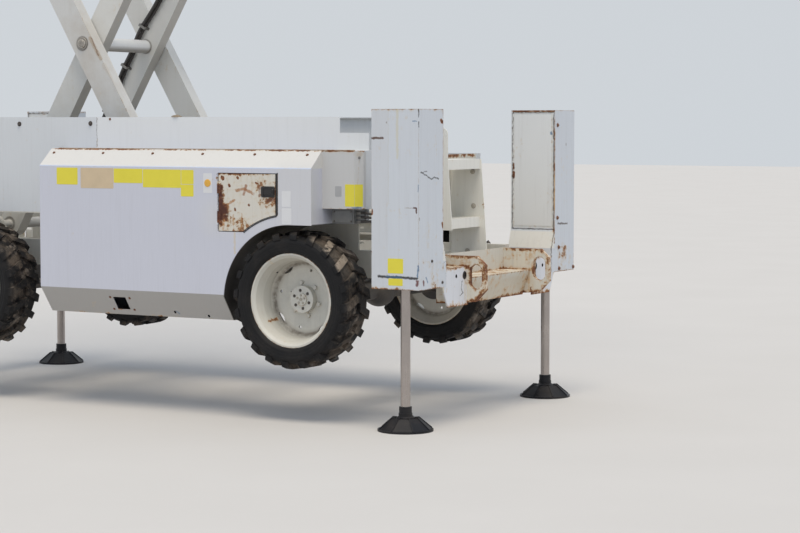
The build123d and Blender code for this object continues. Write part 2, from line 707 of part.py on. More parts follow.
def tyre():
    """A foam-filled lift tyre about Z with two rows of slanted lugs."""
    f = FLANGE_HALF
    w = TYRE_HALF
    seat, bead = SEAT_R + TYRE_GAP, RIM_R + TYRE_GAP
    half = [
        (seat, f - 22 - TYRE_GAP), (bead, f - 12 - TYRE_GAP), (bead, f + 1), (340, w - 7),
        (395, w), (418, w - 8), (TREAD_R, w - 40),
    ]
    carcass = turned(half + [(r, -h) for r, h in reversed(half)])
    root = TREAD_R - 8
    band = turned([
        (root, 5), (TYRE_R, 5), (TYRE_R, w - 38), (452, w - 8), (415, w - 1), (408, w - 20), (root, w - 50),
    ])
    bar = Pos(TREAD_R, 0, w / 2) * Rot(LUG_LEAN, 0, 0) * Box(TYRE_R - 380, LUG_T, 2 * w)
    lug = band & bar
    pitch = 360 / LUGS
    lugs = []
    for i in range(LUGS):
        lugs.append(Rot(0, 0, pitch * i) * lug)
        lugs.append(Rot(0, 0, pitch * (i + 0.5)) * mirror(lug, about=Plane.XY))
    return carcass + lugs


def wheel_at(solid, x, near):
    """A wheel part turned so that its outer side faces away from the machine."""
    if near:
        return Pos(x, -WHEEL_Y, AXLE_Z) * Rot(90, 0, 0) * solid
    return Pos(x, WHEEL_Y, AXLE_Z) * Rot(-90, 0, 0) * solid


HUB_Y = WHEEL_Y + DISH - DISC_T - HUB_GAP
SPINDLE_END = WHEEL_Y + DISH + BOSS_UP - BOSS_WALL - SPINDLE_GAP


def spindle(y_from, x):
    """The hub flange and spindle that carry a wheel, on the +Y side."""
    tip = rod_y(SPINDLE_R, (HUB_Y - 1, SPINDLE_END), x, AXLE_Z)
    return rod_y(AXLE_HUB_R, (y_from, HUB_Y), x, AXLE_Z) + tip


def fixed_axle():
    """The driven axle below the ladder end, bolted to pads under the beams."""
    axle = rod_y(AXLE_R, (-HUB_Y + 30, HUB_Y - 30), AXLE_X, AXLE_Z)
    axle += Pos(AXLE_X, 60, AXLE_Z) * Sphere(DIFF_R)
    pad = box((AXLE_X - 70, AXLE_X + 70), (BEAM_IN, BEAM_OUT), (AXLE_Z, BEAM_LOW))
    return axle + both_sides(pad + spindle(HUB_Y - 45, AXLE_X))


def steer_axle():
    """The axle beam at the steer end with a yoke at each end for the knuckles."""
    x = -AXLE_X
    beam = box((x - 65, x + 65), (-690, 690), (AXLE_Z - 70, AXLE_Z + 70))
    beam += Pos(x, 0, AXLE_Z) * Sphere(DIFF_R - 10)
    half = box((x - 60, x + 60), YOKE_WEB, (AXLE_Z - YOKE_Z - YOKE_T, AXLE_Z + YOKE_Z + YOKE_T))
    for z in (AXLE_Z - YOKE_Z - YOKE_T, AXLE_Z + YOKE_Z):
        half += box((x - 50, x + 50), (YOKE_WEB[1] - 5, KINGPIN_Y), (z, z + YOKE_T))
        half += rod_z(50, (z, z + YOKE_T), x, KINGPIN_Y)
        half -= rod_z(KINGPIN_R + FIT, (z - 1, z + YOKE_T + 1), x, KINGPIN_Y)
    half += box((x - 60, x + 60), (300, 380), (AXLE_Z + 60, BEAM_LOW))
    axle = beam + both_sides(half)
    cylinder_x = x + STEER_ARM
    axle += rod_y(STEER_TUBE_R, (-210, 210), cylinder_x, AXLE_Z)
    for y in (-150, 110):
        axle += box((x + 60, cylinder_x - 20), (y, y + 40), (AXLE_Z - 30, AXLE_Z + 30))
    return axle - rod_y(STEER_ROD_R + FIT, (-220, 220), cylinder_x, AXLE_Z)


def knuckle():
    """A steering knuckle on the +Y side, with its kingpin, arm and wheel spindle."""
    x = -AXLE_X
    z0, z1 = AXLE_Z - YOKE_Z + 1, AXLE_Z + YOKE_Z - 1
    body = rod_z(48, (z0, z1), x, KINGPIN_Y)
    body += rod_z(KINGPIN_R, (AXLE_Z - YOKE_Z - YOKE_T - 8, AXLE_Z + YOKE_Z + YOKE_T + 8), x, KINGPIN_Y)
    body += rod_y(85, (KINGPIN_Y + 20, HUB_Y - 30), x, AXLE_Z)
    body += box((x + 20, x + STEER_ARM), (KINGPIN_Y - 22, KINGPIN_Y + 22), (AXLE_Z - 60, AXLE_Z - 30))
    body += rod_z(30, (AXLE_Z - 60, AXLE_Z - 30), x + STEER_ARM, KINGPIN_Y)
    return body + spindle(HUB_Y - 45, x)


def steer_rod():
    """The double-ended steering rod with an eye over each knuckle's arm."""
    x = -AXLE_X + STEER_ARM
    bar = rod_y(STEER_ROD_R, (-KINGPIN_Y + 20, KINGPIN_Y - 20), x, AXLE_Z)
    eye = rod_z(32, (AXLE_Z - 22, AXLE_Z + 22), x, KINGPIN_Y)
    return bar + both_sides(eye)


def hatch():
    """The control hatch on the near side cover, with the barrels of its two hinges on its left edge."""
    face = hatch_outline(HATCH_GAP)
    leaf = face & box(HATCH_X, (COVER_Y - HATCH_T, COVER_Y), HATCH_Z)
    y = COVER_Y + HINGE_CLEAR + HINGE_R
    x = HATCH_X[0] - 1
    for z in (HATCH_Z[0] + 60, HATCH_Z[1] - 140):
        height = (z, z + 80)
        leaf += rod_z(HINGE_R, height, x, y)
        leaf += box((x, x + 26), (COVER_Y + HINGE_CLEAR, y), height)
        leaf += box((HATCH_X[0] + HATCH_GAP, x + 26), (COVER_Y - 1, y), height)
    return far_side(leaf)


def ladder():
    """Two side plates, the near one taller as a hand hold, with two deep treads between them."""
    x0, x1 = LADDER_X
    z0, z1 = LADDER_Z
    thick = (LADDER_Y - LADDER_T, LADDER_Y)
    steps = plate_xz([(x0, z0), (LADDER_FOOT_X, z0), (x1, z1), (x0, z1)], thick)
    near = far_side(steps) - box((x0, LADDER_FOOT_X), (-LADDER_Y, -thick[0]), (z0, LADDER_NEAR_FOOT))
    tall = box((x0, x1), thick, (z1 - 1, z1 + LADDER_TALL))
    corner = tall.edges().filter_by(Axis.Y).group_by(Axis.Z)[-1].sort_by(Axis.X)[-1]
    steps += near + far_side(fillet(corner, LADDER_TALL / 5))
    for z in TREADS:
        tread = box((x0 + 40, x1 - 6), (-LADDER_Y + 1, LADDER_Y - 1), (z, z + TREAD_H))
        tread -= box((x0 + 39, x1 - 12), (-LADDER_Y + 9, LADDER_Y - 9), (z - 1, z + TREAD_H - 6))
        steps += tread
    return steps


def deck():
    """The main deck with the tracks and lugs that the top arms carry."""
    z0, z1 = DECK_Z, DECK_TOP
    frame = box((-DECK_X, DECK_X), (-DECK_Y, DECK_Y), (z0, z1))
    inner_x = DECK_X - DECK_RIM
    inner_y = DECK_Y - DECK_RIM
    frame -= box((-inner_x, inner_x), (-inner_y, inner_y), (z0 - 1, z1 - DECK_PLATE))
    for x in DECK_MEMBERS:
        frame += box((x, x + DECK_MEMBER), (-inner_y - 1, inner_y + 1), (z0, z1 - 1))
    track_low = TOP_Z - TOP_TRACK_HALF - TOP_WEB_T
    side = box(TOP_TRACK_X, (TOP_TRACK_Y[0], TOP_TRACK_Y[0] + TOP_WEB_T), (track_low, z1 - 1))
    for z in (track_low, TOP_Z + TOP_TRACK_HALF):
        side += box(TOP_TRACK_X, TOP_TRACK_Y, (z, z + TOP_WEB_T))
    lug = box((PIVOT_X - 60, PIVOT_X + 60), LUG_Y, (TOP_Z, z1 - 1)) + rod_y(60, LUG_Y, PIVOT_X, TOP_Z)
    side += lug - rod_y(PIN_R + FIT, LUG_Y, PIVOT_X, TOP_Z)
    return frame + both_sides(side)


def post(x, y, z):
    """One upright of a guard rail, its outer corner at x and y pointing in."""
    return box((x, x + RAIL), (y, y + RAIL), z)


def main_rails():
    """The guard rails along both sides and the ladder end of the main deck."""
    z0, z1 = DECK_TOP, DECK_TOP + RAIL_H
    y0 = DECK_Y - RAIL
    x1 = DECK_X - RAIL
    side = box((-DECK_X, DECK_X), (y0, DECK_Y), (z1 - RAIL, z1))
    side += box((-DECK_X, DECK_X), (y0, DECK_Y), (DECK_TOP + MID_RAIL - RAIL, DECK_TOP + MID_RAIL))
    side += box((-DECK_X, DECK_X), (DECK_Y - TOE_T, DECK_Y), (z0, DECK_TOP + TOE_H))
    for x in (-DECK_X, -DECK_X / 2, 0.0, DECK_X / 2, x1):
        side += post(x, y0, (z0, z1))
    end = post(x1, GATE_HALF, (z0, z1))
    for z in (z1 - RAIL, DECK_TOP + MID_RAIL - RAIL):
        end += box((x1, DECK_X), (GATE_HALF, y0 + 1), (z, z + RAIL))
    end += box((DECK_X - TOE_T, DECK_X), (GATE_HALF, y0 + 1), (z0, DECK_TOP + TOE_H))
    return both_sides(side + end)


def gate():
    """The entry gate at the ladder end, hinged on the near post."""
    z0, z1 = DECK_TOP + 40, DECK_TOP + RAIL_H
    x = (DECK_X - RAIL, DECK_X)
    y = (-GATE_HALF + 6, GATE_HALF - 6)
    leaf = box(x, y, (z1 - RAIL, z1)) + box(x, y, (z0 + 160, z0 + 160 + RAIL))
    leaf += box(x, y, (DECK_TOP + MID_RAIL - RAIL, DECK_TOP + MID_RAIL))
    leaf += box((DECK_X - TOE_T, DECK_X), y, (z0, z0 + 170))
    for y0 in (y[0], y[1] - RAIL):
        leaf += box(x, (y0, y0 + RAIL), (z0 + 160, z1))
    hinge_x = x[0] - HINGE_CLEAR - GATE_HINGE_R
    hinge_y = -GATE_HALF + 3
    for z in (DECK_TOP + MID_RAIL / 2, z1 - GATE_HINGE_DOWN):
        height = (z, z + GATE_HINGE_H)
        leaf += rod_z(GATE_HINGE_R, height, hinge_x, hinge_y)
        leaf += box((hinge_x, x[0] + 1), (y[0], y[0] + 14), height)
    return leaf


def extension_deck():
    """The roll-out deck on its two runners above the main deck."""
    z0 = DECK_TOP + EXT_GAP
    plate = box(EXT_X, (-EXT_Y, EXT_Y), (z0, z0 + EXT_T))
    inside = (-EXT_Y + EXT_RIM, EXT_Y - EXT_RIM)
    plate -= box((EXT_X[0] + EXT_RIM, EXT_X[1] - EXT_RIM), inside, (z0 - 1, z0 + EXT_T - DECK_PLATE))
    runner = box(EXT_X, (EXT_Y - EXT_RIM, EXT_Y - 4), (DECK_TOP + HINGE_CLEAR, z0 + 1))
    return plate + both_sides(runner)


def extension_rails():
    """The guard rails of the roll-out deck, inside the main rails."""
    z0 = DECK_TOP + EXT_GAP + EXT_T - 1
    z1 = DECK_TOP + RAIL_H
    x0, x1 = EXT_X
    y0 = EXT_Y - RAIL
    side = box((x0, x1), (y0, EXT_Y), (z1 - RAIL, z1))
    side += box((x0, x1), (y0, EXT_Y), (DECK_TOP + MID_RAIL - RAIL, DECK_TOP + MID_RAIL))
    side += box((x0, x1), (EXT_Y - TOE_T, EXT_Y), (z0, DECK_TOP + TOE_H))
    for x in (x0, (x0 + x1) / 2, x1 - RAIL):
        side += post(x, y0, (z0, z1))
    rails = both_sides(side)
    for z in (z1 - RAIL, DECK_TOP + MID_RAIL - RAIL):
        rails += box((x0, x0 + RAIL), (-y0 - 1, y0 + 1), (z, z + RAIL))
    rails += box((x0, x0 + TOE_T), (-y0 - 1, y0 + 1), (z0, DECK_TOP + TOE_H))
    return rails + post(x0, -RAIL / 2, (z0, z1))


def control_box():
    """The platform control box on the roll-out deck's end rail."""
    z1 = DECK_TOP + RAIL_H
    x0 = EXT_X[0] + RAIL
    outline = [(x0, z1 - 260), (x0 + 120, z1 - 260), (x0 + 190, z1 - 90), (x0 + 120, z1), (x0, z1)]
    return plate_xz(outline, CONTROL_Y)


def engine_block():
    """The engine in the far side cover, as one mass on the cover's floor."""
    return box(ENGINE_X, (COVER_IN_Y + 60, COVER_LOW_Y - 20), (COVER_LOW + COVER_T, ENGINE_TOP))


def valve_box():
    """The small valve box on the near wall, below its end panel."""
    return box(VALVE_X, (-VALVE_REACH, -WALL_Y - WALL_T), (SHELF_Z - 10, FENDER_LOW - 2))


def build():
    """Every node by its name."""
    parts = {}
    parts["chassis_frame"] = chassis_frame()
    parts["side_wall_far"] = side_wall(FAR_STEP_X, BULKHEAD_TOP)
    parts["side_wall_near"] = far_side(side_wall(WALL_STEP_X, WALL_STEP_TOP) + fender_panel())
    parts["side_cover_far"] = side_cover(FAR_COVER_END)
    parts["side_cover_near"] = far_side(side_cover(COVER_X[1]) - hatch_outline(0.0) - cover_holes())
    parts["control_hatch"] = hatch()
    parts["engine_block"] = engine_block()
    parts["valve_box"] = valve_box()
    parts["ladder"] = ladder()
    parts["end_frame_ladder"] = end_frame()
    parts["end_frame_steer"] = steer_end(end_frame())
    posts = both_sides(outrigger_post())
    parts["outrigger_posts_ladder"] = posts
    parts["outrigger_posts_steer"] = steer_end(posts)
    corners = {"ladder_far": lambda s: s, "ladder_near": far_side, "steer_far": steer_end}
    corners["steer_near"] = lambda s: steer_end(far_side(s))
    for corner, put in corners.items():
        parts["leg_rod_" + corner] = put(leg_rod())
        parts["leg_pad_" + corner] = put(leg_pad())
    parts["fixed_axle"] = fixed_axle()
    parts["steer_axle"] = steer_axle()
    parts["steer_rod"] = steer_rod()
    parts["knuckle_far"] = knuckle()
    parts["knuckle_near"] = far_side(knuckle())
    wheel_rim = rim()
    wheel_tyre = tyre()
    for corner, x, near in (
        ("ladder_far", AXLE_X, False), ("ladder_near", AXLE_X, True),
        ("steer_far", -AXLE_X, False), ("steer_near", -AXLE_X, True),
    ):
        parts["rim_" + corner] = wheel_at(wheel_rim, x, near)
        parts["tyre_" + corner] = wheel_at(wheel_tyre, x, near)
    for stage in range(1, STAGES + 1):
        parts[f"inner_arms_{stage}"] = place_inner(inner_arms(stage), stage)
        parts[f"outer_arms_{stage}"] = place_outer(outer_arms(stage), stage)
    for stage in CYL_STAGES:
        parts[f"lift_barrel_{stage}"] = place_cylinder(barrel(), stage)
        parts[f"lift_rod_{stage}"] = place_cylinder(rod(), stage)
    parts["lower_slider"] = lower_slider()
    parts["upper_slider"] = upper_slider()
    parts["deck"] = deck()
    parts["main_rails"] = main_rails()
    parts["gate"] = gate()
    parts["extension_deck"] = extension_deck() + extension_rails()
    parts["control_box"] = control_box()
    return parts


os.makedirs("parts", exist_ok=True)
for node, shape in build().items():
    export_step(shape, os.path.join("parts", node + ".step"))
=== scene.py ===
from math import atan2, cos, pi, radians, sin

import bmesh
import bpy
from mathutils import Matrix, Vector


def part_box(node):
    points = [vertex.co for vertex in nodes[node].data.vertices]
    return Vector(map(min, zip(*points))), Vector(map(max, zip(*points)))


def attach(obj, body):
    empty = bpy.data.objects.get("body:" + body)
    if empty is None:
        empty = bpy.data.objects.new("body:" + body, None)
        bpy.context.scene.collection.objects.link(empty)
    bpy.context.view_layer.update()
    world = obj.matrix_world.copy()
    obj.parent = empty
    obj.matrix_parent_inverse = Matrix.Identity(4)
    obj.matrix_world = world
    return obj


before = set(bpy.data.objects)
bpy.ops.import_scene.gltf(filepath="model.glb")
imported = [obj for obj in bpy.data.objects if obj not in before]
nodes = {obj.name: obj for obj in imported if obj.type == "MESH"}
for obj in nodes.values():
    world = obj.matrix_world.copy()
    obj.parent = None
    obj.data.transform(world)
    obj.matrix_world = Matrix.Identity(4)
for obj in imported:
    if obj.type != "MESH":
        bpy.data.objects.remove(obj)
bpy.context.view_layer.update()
scene = bpy.context.scene

# The photograph's camera
CAMERA_AT = (9.324, -13.425, 2.036)
CAMERA_YAW = 29.82
CAMERA_DOWN = 3.82
CAMERA_LENS = 97.97

# Places that the pieces need, as in the frame, in metres
ARM_ANGLE = radians(59.3)
ARM_LENGTH = 3.166
STAGE_UP = ARM_LENGTH * sin(ARM_ANGLE)
PIVOT = Vector((-1.613, 0, 1.25))
MID = PIVOT + Vector((cos(ARM_ANGLE), 0, sin(ARM_ANGLE))) * ARM_LENGTH / 2
FOOT_X = 2 * MID.x - PIVOT.x
COVER_Y = 1.14
LEDGE_Y = 1
WALL_Y = 0.808
ARM_Y = 0.5
POST_Y = 1.17
POST_X = 2.44
END_X = 2.437
AXLE_X = 1.42
AXLE_Z = 0.829
ARCH_Z = 0.81
DECK_TOP = PIVOT.z + 4 * STAGE_UP + 0.235
RAIL_TOP = DECK_TOP + 1.1

RUST_DARK = (0.09, 0.03, 0.017)
RUST_MID = (0.27, 0.105, 0.042)
RUST_PALE = (0.46, 0.25, 0.105)
STAIN = (0.6, 0.47, 0.29)
GRIME_AND_SHADE = (0.22, 0.19, 0.155)
BLACK = (0.022, 0.02, 0.02)
BLUE = (0.045, 0.14, 0.27)
DRIED_RED = (0.13, 0.02, 0.016)


class Value:
    """A socket that takes part in arithmetic."""

    def __init__(self, graph, socket):
        self.graph = graph
        self.socket = socket

    def __add__(self, other):
        return self.graph.math("ADD", self, other)

    def __sub__(self, other):
        return self.graph.math("SUBTRACT", self, other)

    def __rsub__(self, other):
        return self.graph.math("SUBTRACT", other, self)

    def __mul__(self, other):
        return self.graph.math("MULTIPLY", self, other)

    def __truediv__(self, other):
        return self.graph.math("DIVIDE", self, other)

    def clamp(self):
        return self.graph.math("ADD", self, 0, clamp=True)

    def step(self, low, high):
        """0 below low, 1 above high, straight between."""
        return self.graph.math("MULTIPLY", self - low, 1 / (high - low), clamp=True)


def colour(c):
    """A colour as a socket takes it; sockets pass through."""
    return (*c, 1) if isinstance(c, (tuple, list)) and len(c) == 3 else c


MATERIALS = {}


class Graph:
    """A material's node tree, built by arithmetic on values."""

    def __init__(self, name):
        self.mat = bpy.data.materials.new(name)
        self.mat.use_nodes = True
        self.tree = self.mat.node_tree
        self.bsdf = self.tree.nodes["Principled BSDF"]
        self.p = self.add("ShaderNodeTexCoord").outputs["Object"]
        self.shaken = None
        MATERIALS[name] = self.mat

    def add(self, kind, **settings):
        node = self.tree.nodes.new(kind)
        for key, value in settings.items():
            setattr(node, key, value)
        return node

    def link(self, value, socket):
        if isinstance(value, Value):
            value = value.socket
        if hasattr(value, "is_output"):
            self.tree.links.new(value, socket)
        else:
            socket.default_value = value

    def math(self, kind, a, b=0, clamp=False):
        node = self.add("ShaderNodeMath", operation=kind, use_clamp=clamp)
        self.link(a, node.inputs[0])
        self.link(b, node.inputs[1])
        return Value(self, node.outputs[0])

    def vec(self, kind, a, b=None, scale=None):
        node = self.add("ShaderNodeVectorMath", operation=kind)
        self.link(a, node.inputs[0])
        if b is not None:
            self.link(b, node.inputs[1])
        if scale is not None:
            self.link(scale, node.inputs["Scale"])
        return node.outputs["Value" if kind in ("LENGTH", "DOT_PRODUCT") else "Vector"]

    def length(self, vector):
        return Value(self, self.vec("LENGTH", vector))

    def reach(self, a, b):
        """The length of the slanting side over a and b."""
        return self.math("SQRT", a * a + b * b)

    def axes(self, vector):
        node = self.add("ShaderNodeSeparateXYZ")
        self.link(vector, node.inputs[0])
        return [Value(self, s) for s in node.outputs]

    def normal_z(self):
        return self.axes(self.add("ShaderNodeNewGeometry").outputs["Normal"])[2]

    def noise(self, scale, detail, rough, stretch=None, shift=0, output="Fac"):
        at = self.vec("MULTIPLY", self.p, stretch) if stretch else self.p
        if shift:
            at = self.vec("ADD", at, (shift, shift * 0.7, shift * 1.3))
        node = self.add("ShaderNodeTexNoise")
        self.link(at, node.inputs["Vector"])
        node.inputs["Scale"].default_value = scale
        node.inputs["Detail"].default_value = detail
        node.inputs["Roughness"].default_value = rough
        return Value(self, node.outputs[output])

    def mix(self, share, a, b):
        node = self.add("ShaderNodeMix", data_type="RGBA")
        self.link(share, node.inputs["Factor"])
        self.link(colour(a), node.inputs["A"])
        self.link(colour(b), node.inputs["B"])
        return node.outputs["Result"]

    def wobbly(self):
        """The place, shaken by some millimetres, so that drawn marks get ragged edges."""
        if self.shaken is None:
            cloud = self.noise(45, 3, 0.7, output="Color").socket
            shake = self.vec("SUBTRACT", cloud, (0.5, 0.5, 0.5))
            self.shaken = self.vec("ADD", self.p, self.vec("SCALE", shake, scale=0.024))
        return self.shaken

    def near_box(self, low, high, spread, mirrored=False):
        """1 inside a box, falling to 0 at a distance of spread."""
        at = self.vec("ABSOLUTE", self.p) if mirrored else self.p
        centre = [(a + b) / 2 for a, b in zip(low, high)]
        half = [(b - a) / 2 for a, b in zip(low, high)]
        away = self.vec("SUBTRACT", self.vec("ABSOLUTE", self.vec("SUBTRACT", at, centre)), half)
        outside = self.length(self.vec("MAXIMUM", away, (0, 0, 0)))
        return self.math("SUBTRACT", 1, outside / spread, clamp=True)

    def line(self, points, width, mirrored=False):
        """1 along a line through points, width across."""
        at = self.vec("ABSOLUTE", self.wobbly()) if mirrored else self.wobbly()
        nearest = None
        for a, b in zip(points, points[1:]):
            run = Vector(b) - Vector(a)
            rel = self.vec("SUBTRACT", at, tuple(a))
            along = Value(self, self.vec("DOT_PRODUCT", rel, tuple(run)))
            along = self.math("MULTIPLY", along, 1 / run.length_squared, clamp=True)
            away = self.length(self.vec("SUBTRACT", rel,
                                        self.vec("SCALE", tuple(run), scale=along)))
            nearest = away if nearest is None else self.math("MINIMUM", nearest, away)
        return self.math("SUBTRACT", 1, nearest.step(width * 0.3, width * 0.6), clamp=True)

    def edges(self, radius):
        """1 along sharp edges and corners, 0 on flats."""
        bevel = self.add("ShaderNodeBevel", samples=4)
        bevel.inputs["Radius"].default_value = radius
        true = self.add("ShaderNodeNewGeometry").outputs["Normal"]
        same = Value(self, self.vec("DOT_PRODUCT", bevel.outputs["Normal"], true))
        return self.math("SUBTRACT", 1, same.step(0.75, 0.985), clamp=True)

    def depth(self):
        """The distance from the machine's middle plane."""
        return self.math("ABSOLUTE", self.axes(self.p)[1])

    def around_axle(self):
        """The distance from the wheels' axes, seen from the side."""
        x, y, z = self.axes(self.p)
        return self.reach(self.math("ABSOLUTE", x) - AXLE_X, z - AXLE_Z)

    def pin_grime(self):
        """1 in a ring of old grease round each arm pivot."""
        x, y, z = self.axes(self.p)
        ring = None
        for at_x, at_z in ((MID.x, MID.z), (PIVOT.x, PIVOT.z), (FOOT_X, PIVOT.z)):
            up = self.math("WRAP", z - at_z, STAGE_UP / 2)
            up.socket.node.inputs[2].default_value = -STAGE_UP / 2
            away = self.reach(x - at_x, up)
            here = away.step(0.06, 0.05) * away.step(0.032, 0.04)
            ring = here if ring is None else self.math("MAXIMUM", ring, here)
        return ring * self.depth().step(0.27, 0.288)

    def arch_inside_dark(self):
        """1 on the inside of the wheel arches."""
        x, y, z = self.axes(self.p)
        across = self.math("MAXIMUM", AXLE_X - self.math("ABSOLUTE", x), 0)
        up = self.math("MAXIMUM", z - ARCH_Z, 0)
        return self.reach(across, up).step(0.538, 0.533) * self.depth().step(1.136, 1.132)

    def bump(self, height, distance, strength, after=None):
        node = self.add("ShaderNodeBump")
        node.inputs["Distance"].default_value = distance
        node.inputs["Strength"].default_value = strength
        self.link(height, node.inputs["Height"])
        if after is not None:
            self.link(after, node.inputs["Normal"])
        return node.outputs["Normal"]

    def done(self, base, rough, metal=None, normal=None):
        self.link(colour(base), self.bsdf.inputs["Base Color"])
        self.link(rough, self.bsdf.inputs["Roughness"])
        if metal is not None:
            self.link(metal, self.bsdf.inputs["Metallic"])
        if normal is not None:
            self.link(normal, self.bsdf.inputs["Normal"])


def paint(name, base, boost=0, dirt=0.25, streaks=0.2, rough=0.42, fine=26, film=0,
          edge=0, underside_shade=0.25, spots=(), marks=(), tints=(), stain=STAIN, stained=0.55,
          tread=False, arms=False, arch=False, disc=False, broken=False):
    """Worn sprayed paint, with painted shade on the faces that look down.

    spots are (low, high, spread, boost, mirrored) boxes where it rusts more; tints are
    (low, high, spread, colour, share, mirrored) boxes of another tone, some of them painted light
    or shade; marks are (points, width, colour, share, mirrored) lines, some of them painted
    highlights or shade, and a mark without a colour is rust.
    Left out, mirrored is False. Mirrored rows hold at every corner of the machine.
    """
    g = Graph(name)
    level = None
    for low, high, spread, amount, *mirrored in spots:
        here = g.near_box(low, high, spread, *mirrored) * amount
        level = here if level is None else g.math("MAXIMUM", level, here)
    for points, width, tone, share, *mirrored in marks:
        if tone is None:
            here = g.line(points, width, *mirrored) * share
            level = here if level is None else g.math("MAXIMUM", level, here)
    level = boost if level is None else level + boost
    if edge:
        level = g.edges(0.012) * edge + level
    if disc:
        level = g.around_axle().step(0.309, 0.318) * 0.11 + level
    grain = g.noise(fine, 7, 0.68) * 0.55 + g.noise(5, 4, 0.6, shift=3.1) * 0.45
    field = grain + level
    rust = field.step(0.655, 0.685)
    run = g.noise(9, 4, 0.6, stretch=(4, 4, 0.2), shift=7)
    big = g.noise(1.3, 5, 0.55, shift=1.7)
    soot = (run.step(0.52, 0.78) * streaks + big.step(0.45, 0.8) * dirt * 0.6).clamp()
    brushed = g.noise(16, 3, 0.6, stretch=(7, 7, 0.25), shift=13)
    clouds = (big * 0.6 + brushed * 0.4).step(0.3, 0.7)
    tint = g.mix(clouds, [c * 0.95 for c in base], [min(c * 1.025, 0.95) for c in base])
    if film:
        haze = g.noise(2.6, 6, 0.65, shift=21)
        tint = g.mix(haze.step(0.42, 0.66) * film, tint, (0.47, 0.42, 0.35))
    for low, high, spread, tone, share, *mirrored in tints:
        tint = g.mix(g.near_box(low, high, spread, *mirrored) * share, tint, tone)
    if arms:
        grease = g.pin_grime() * (grain.step(0.35, 0.6) * 0.5 + 0.4)
        tint = g.mix(grease, tint, (0.1, 0.085, 0.07))
    if arch:
        # The inside of the wheel arches is darkened to near black
        tint = g.mix(g.arch_inside_dark(), tint, (0.035, 0.032, 0.03))
    if disc:
        away = g.around_axle()
        # The barrel's inside is darkened brown: partly dust, partly painted shade deep in the rim
        barrel = g.depth().step(0.99, 0.94) * away.step(0.205, 0.235)
        tint = g.mix(barrel * (grain * 0.9), tint, (0.26, 0.215, 0.16))
        rim_gap = away.step(0.226, 0.238) * away.step(0.262, 0.246)
        tint = g.mix(rim_gap * grain.step(0.4, 0.56) * 0.75, tint, (0.1, 0.08, 0.06))
        middle = away.step(0.225, 0.2)
        tint = g.mix(middle * (grain.step(0.35, 0.62) * 0.3), tint, (0.42, 0.41, 0.38))
    # Painted shade: faces that look down are darkened towards the grime tone
    if underside_shade:
        tint = g.mix((g.normal_z() * -1).step(0.1, 0.7) * underside_shade, tint, GRIME_AND_SHADE)
    tint = g.mix(soot * 0.4, tint, GRIME_AND_SHADE)
    tint = g.mix((run * 0.2 + field - 0.1).step(0.575, 0.69) * stained, tint, stain)
    iron = g.mix(g.noise(70, 5, 0.7, shift=5).step(0.4, 0.62), RUST_DARK, RUST_MID)
    iron = g.mix(field.step(0.75, 0.66) * 0.8, iron, RUST_PALE)
    tint = g.mix(rust, tint, iron)
    for points, width, tone, share, *mirrored in marks:
        if tone is not None:
            here = g.line(points, width, *mirrored) * share
            tint = g.mix(here * grain.step(0.36, 0.5) if broken else here, tint, tone)
    sheen = g.noise(14, 5, 0.6, shift=11).step(0.2, 0.8) * 0.14 + (rough - 0.07)
    roughness = g.math("MAXIMUM", sheen, rust * 0.85)
    normal = g.bump(g.noise(180, 2, 0.5, shift=9), 0.0006, 0.25)
    normal = g.bump(rust * (g.noise(90, 5, 0.7) * 1.2 - 0.9), 0.0018, 0.9, normal)
    if tread:
        x, y, z = g.axes(g.p)
        waves = g.math("SINE", (x + y) * 110) * g.math("SINE", (x - y) * 110)
        normal = g.bump(waves.step(0.25, 0.5) * g.normal_z().step(0.8, 0.95), 0.002, 1, normal)
    g.done(tint, roughness, normal=normal)


def iron_paint(name, base, dust=0.35, rough=0.5, shine=0.5):
    """Dark machine paint with dust and oil."""
    g = Graph(name)
    cloud = g.noise(6, 6, 0.65)
    oil = g.noise(3, 4, 0.6, shift=4).step(0.5, 0.7)
    g.bsdf.inputs["Specular IOR Level"].default_value = shine
    tint = g.mix(cloud.step(0.4, 0.75) * dust, base, (0.27, 0.22, 0.17))
    tint = g.mix(oil * 0.5, tint, [c * 0.4 for c in base])
    roughness = (cloud * 0.3 + (rough - 0.1)) + oil * -0.2
    g.done(tint, roughness.clamp(), normal=g.bump(g.noise(70, 4, 0.7), 0.001, 0.5))


def steel(name, base, rough=0.28, along=(1, 1, 0.05), rusty=0):
    """Bare bright steel, drawn along one axis, with a dull film."""
    g = Graph(name)
    scratch = g.noise(140, 3, 0.6, stretch=along)
    film = g.noise(4, 5, 0.6, shift=2)
    tint = g.mix(film.step(0.35, 0.7) * 0.5, base, [c * 0.62 for c in base])
    spot = (g.noise(30, 6, 0.7, shift=6) + rusty).step(0.72, 0.78)
    tint = g.mix(spot, tint, RUST_MID)
    roughness = (scratch * 0.18 + film * 0.16 + (rough - 0.14)).clamp()
    metal = g.math("SUBTRACT", 1, spot * 0.8, clamp=True)
    g.done(tint, roughness, metal=metal, normal=g.bump(scratch, 0.0003, 0.3))


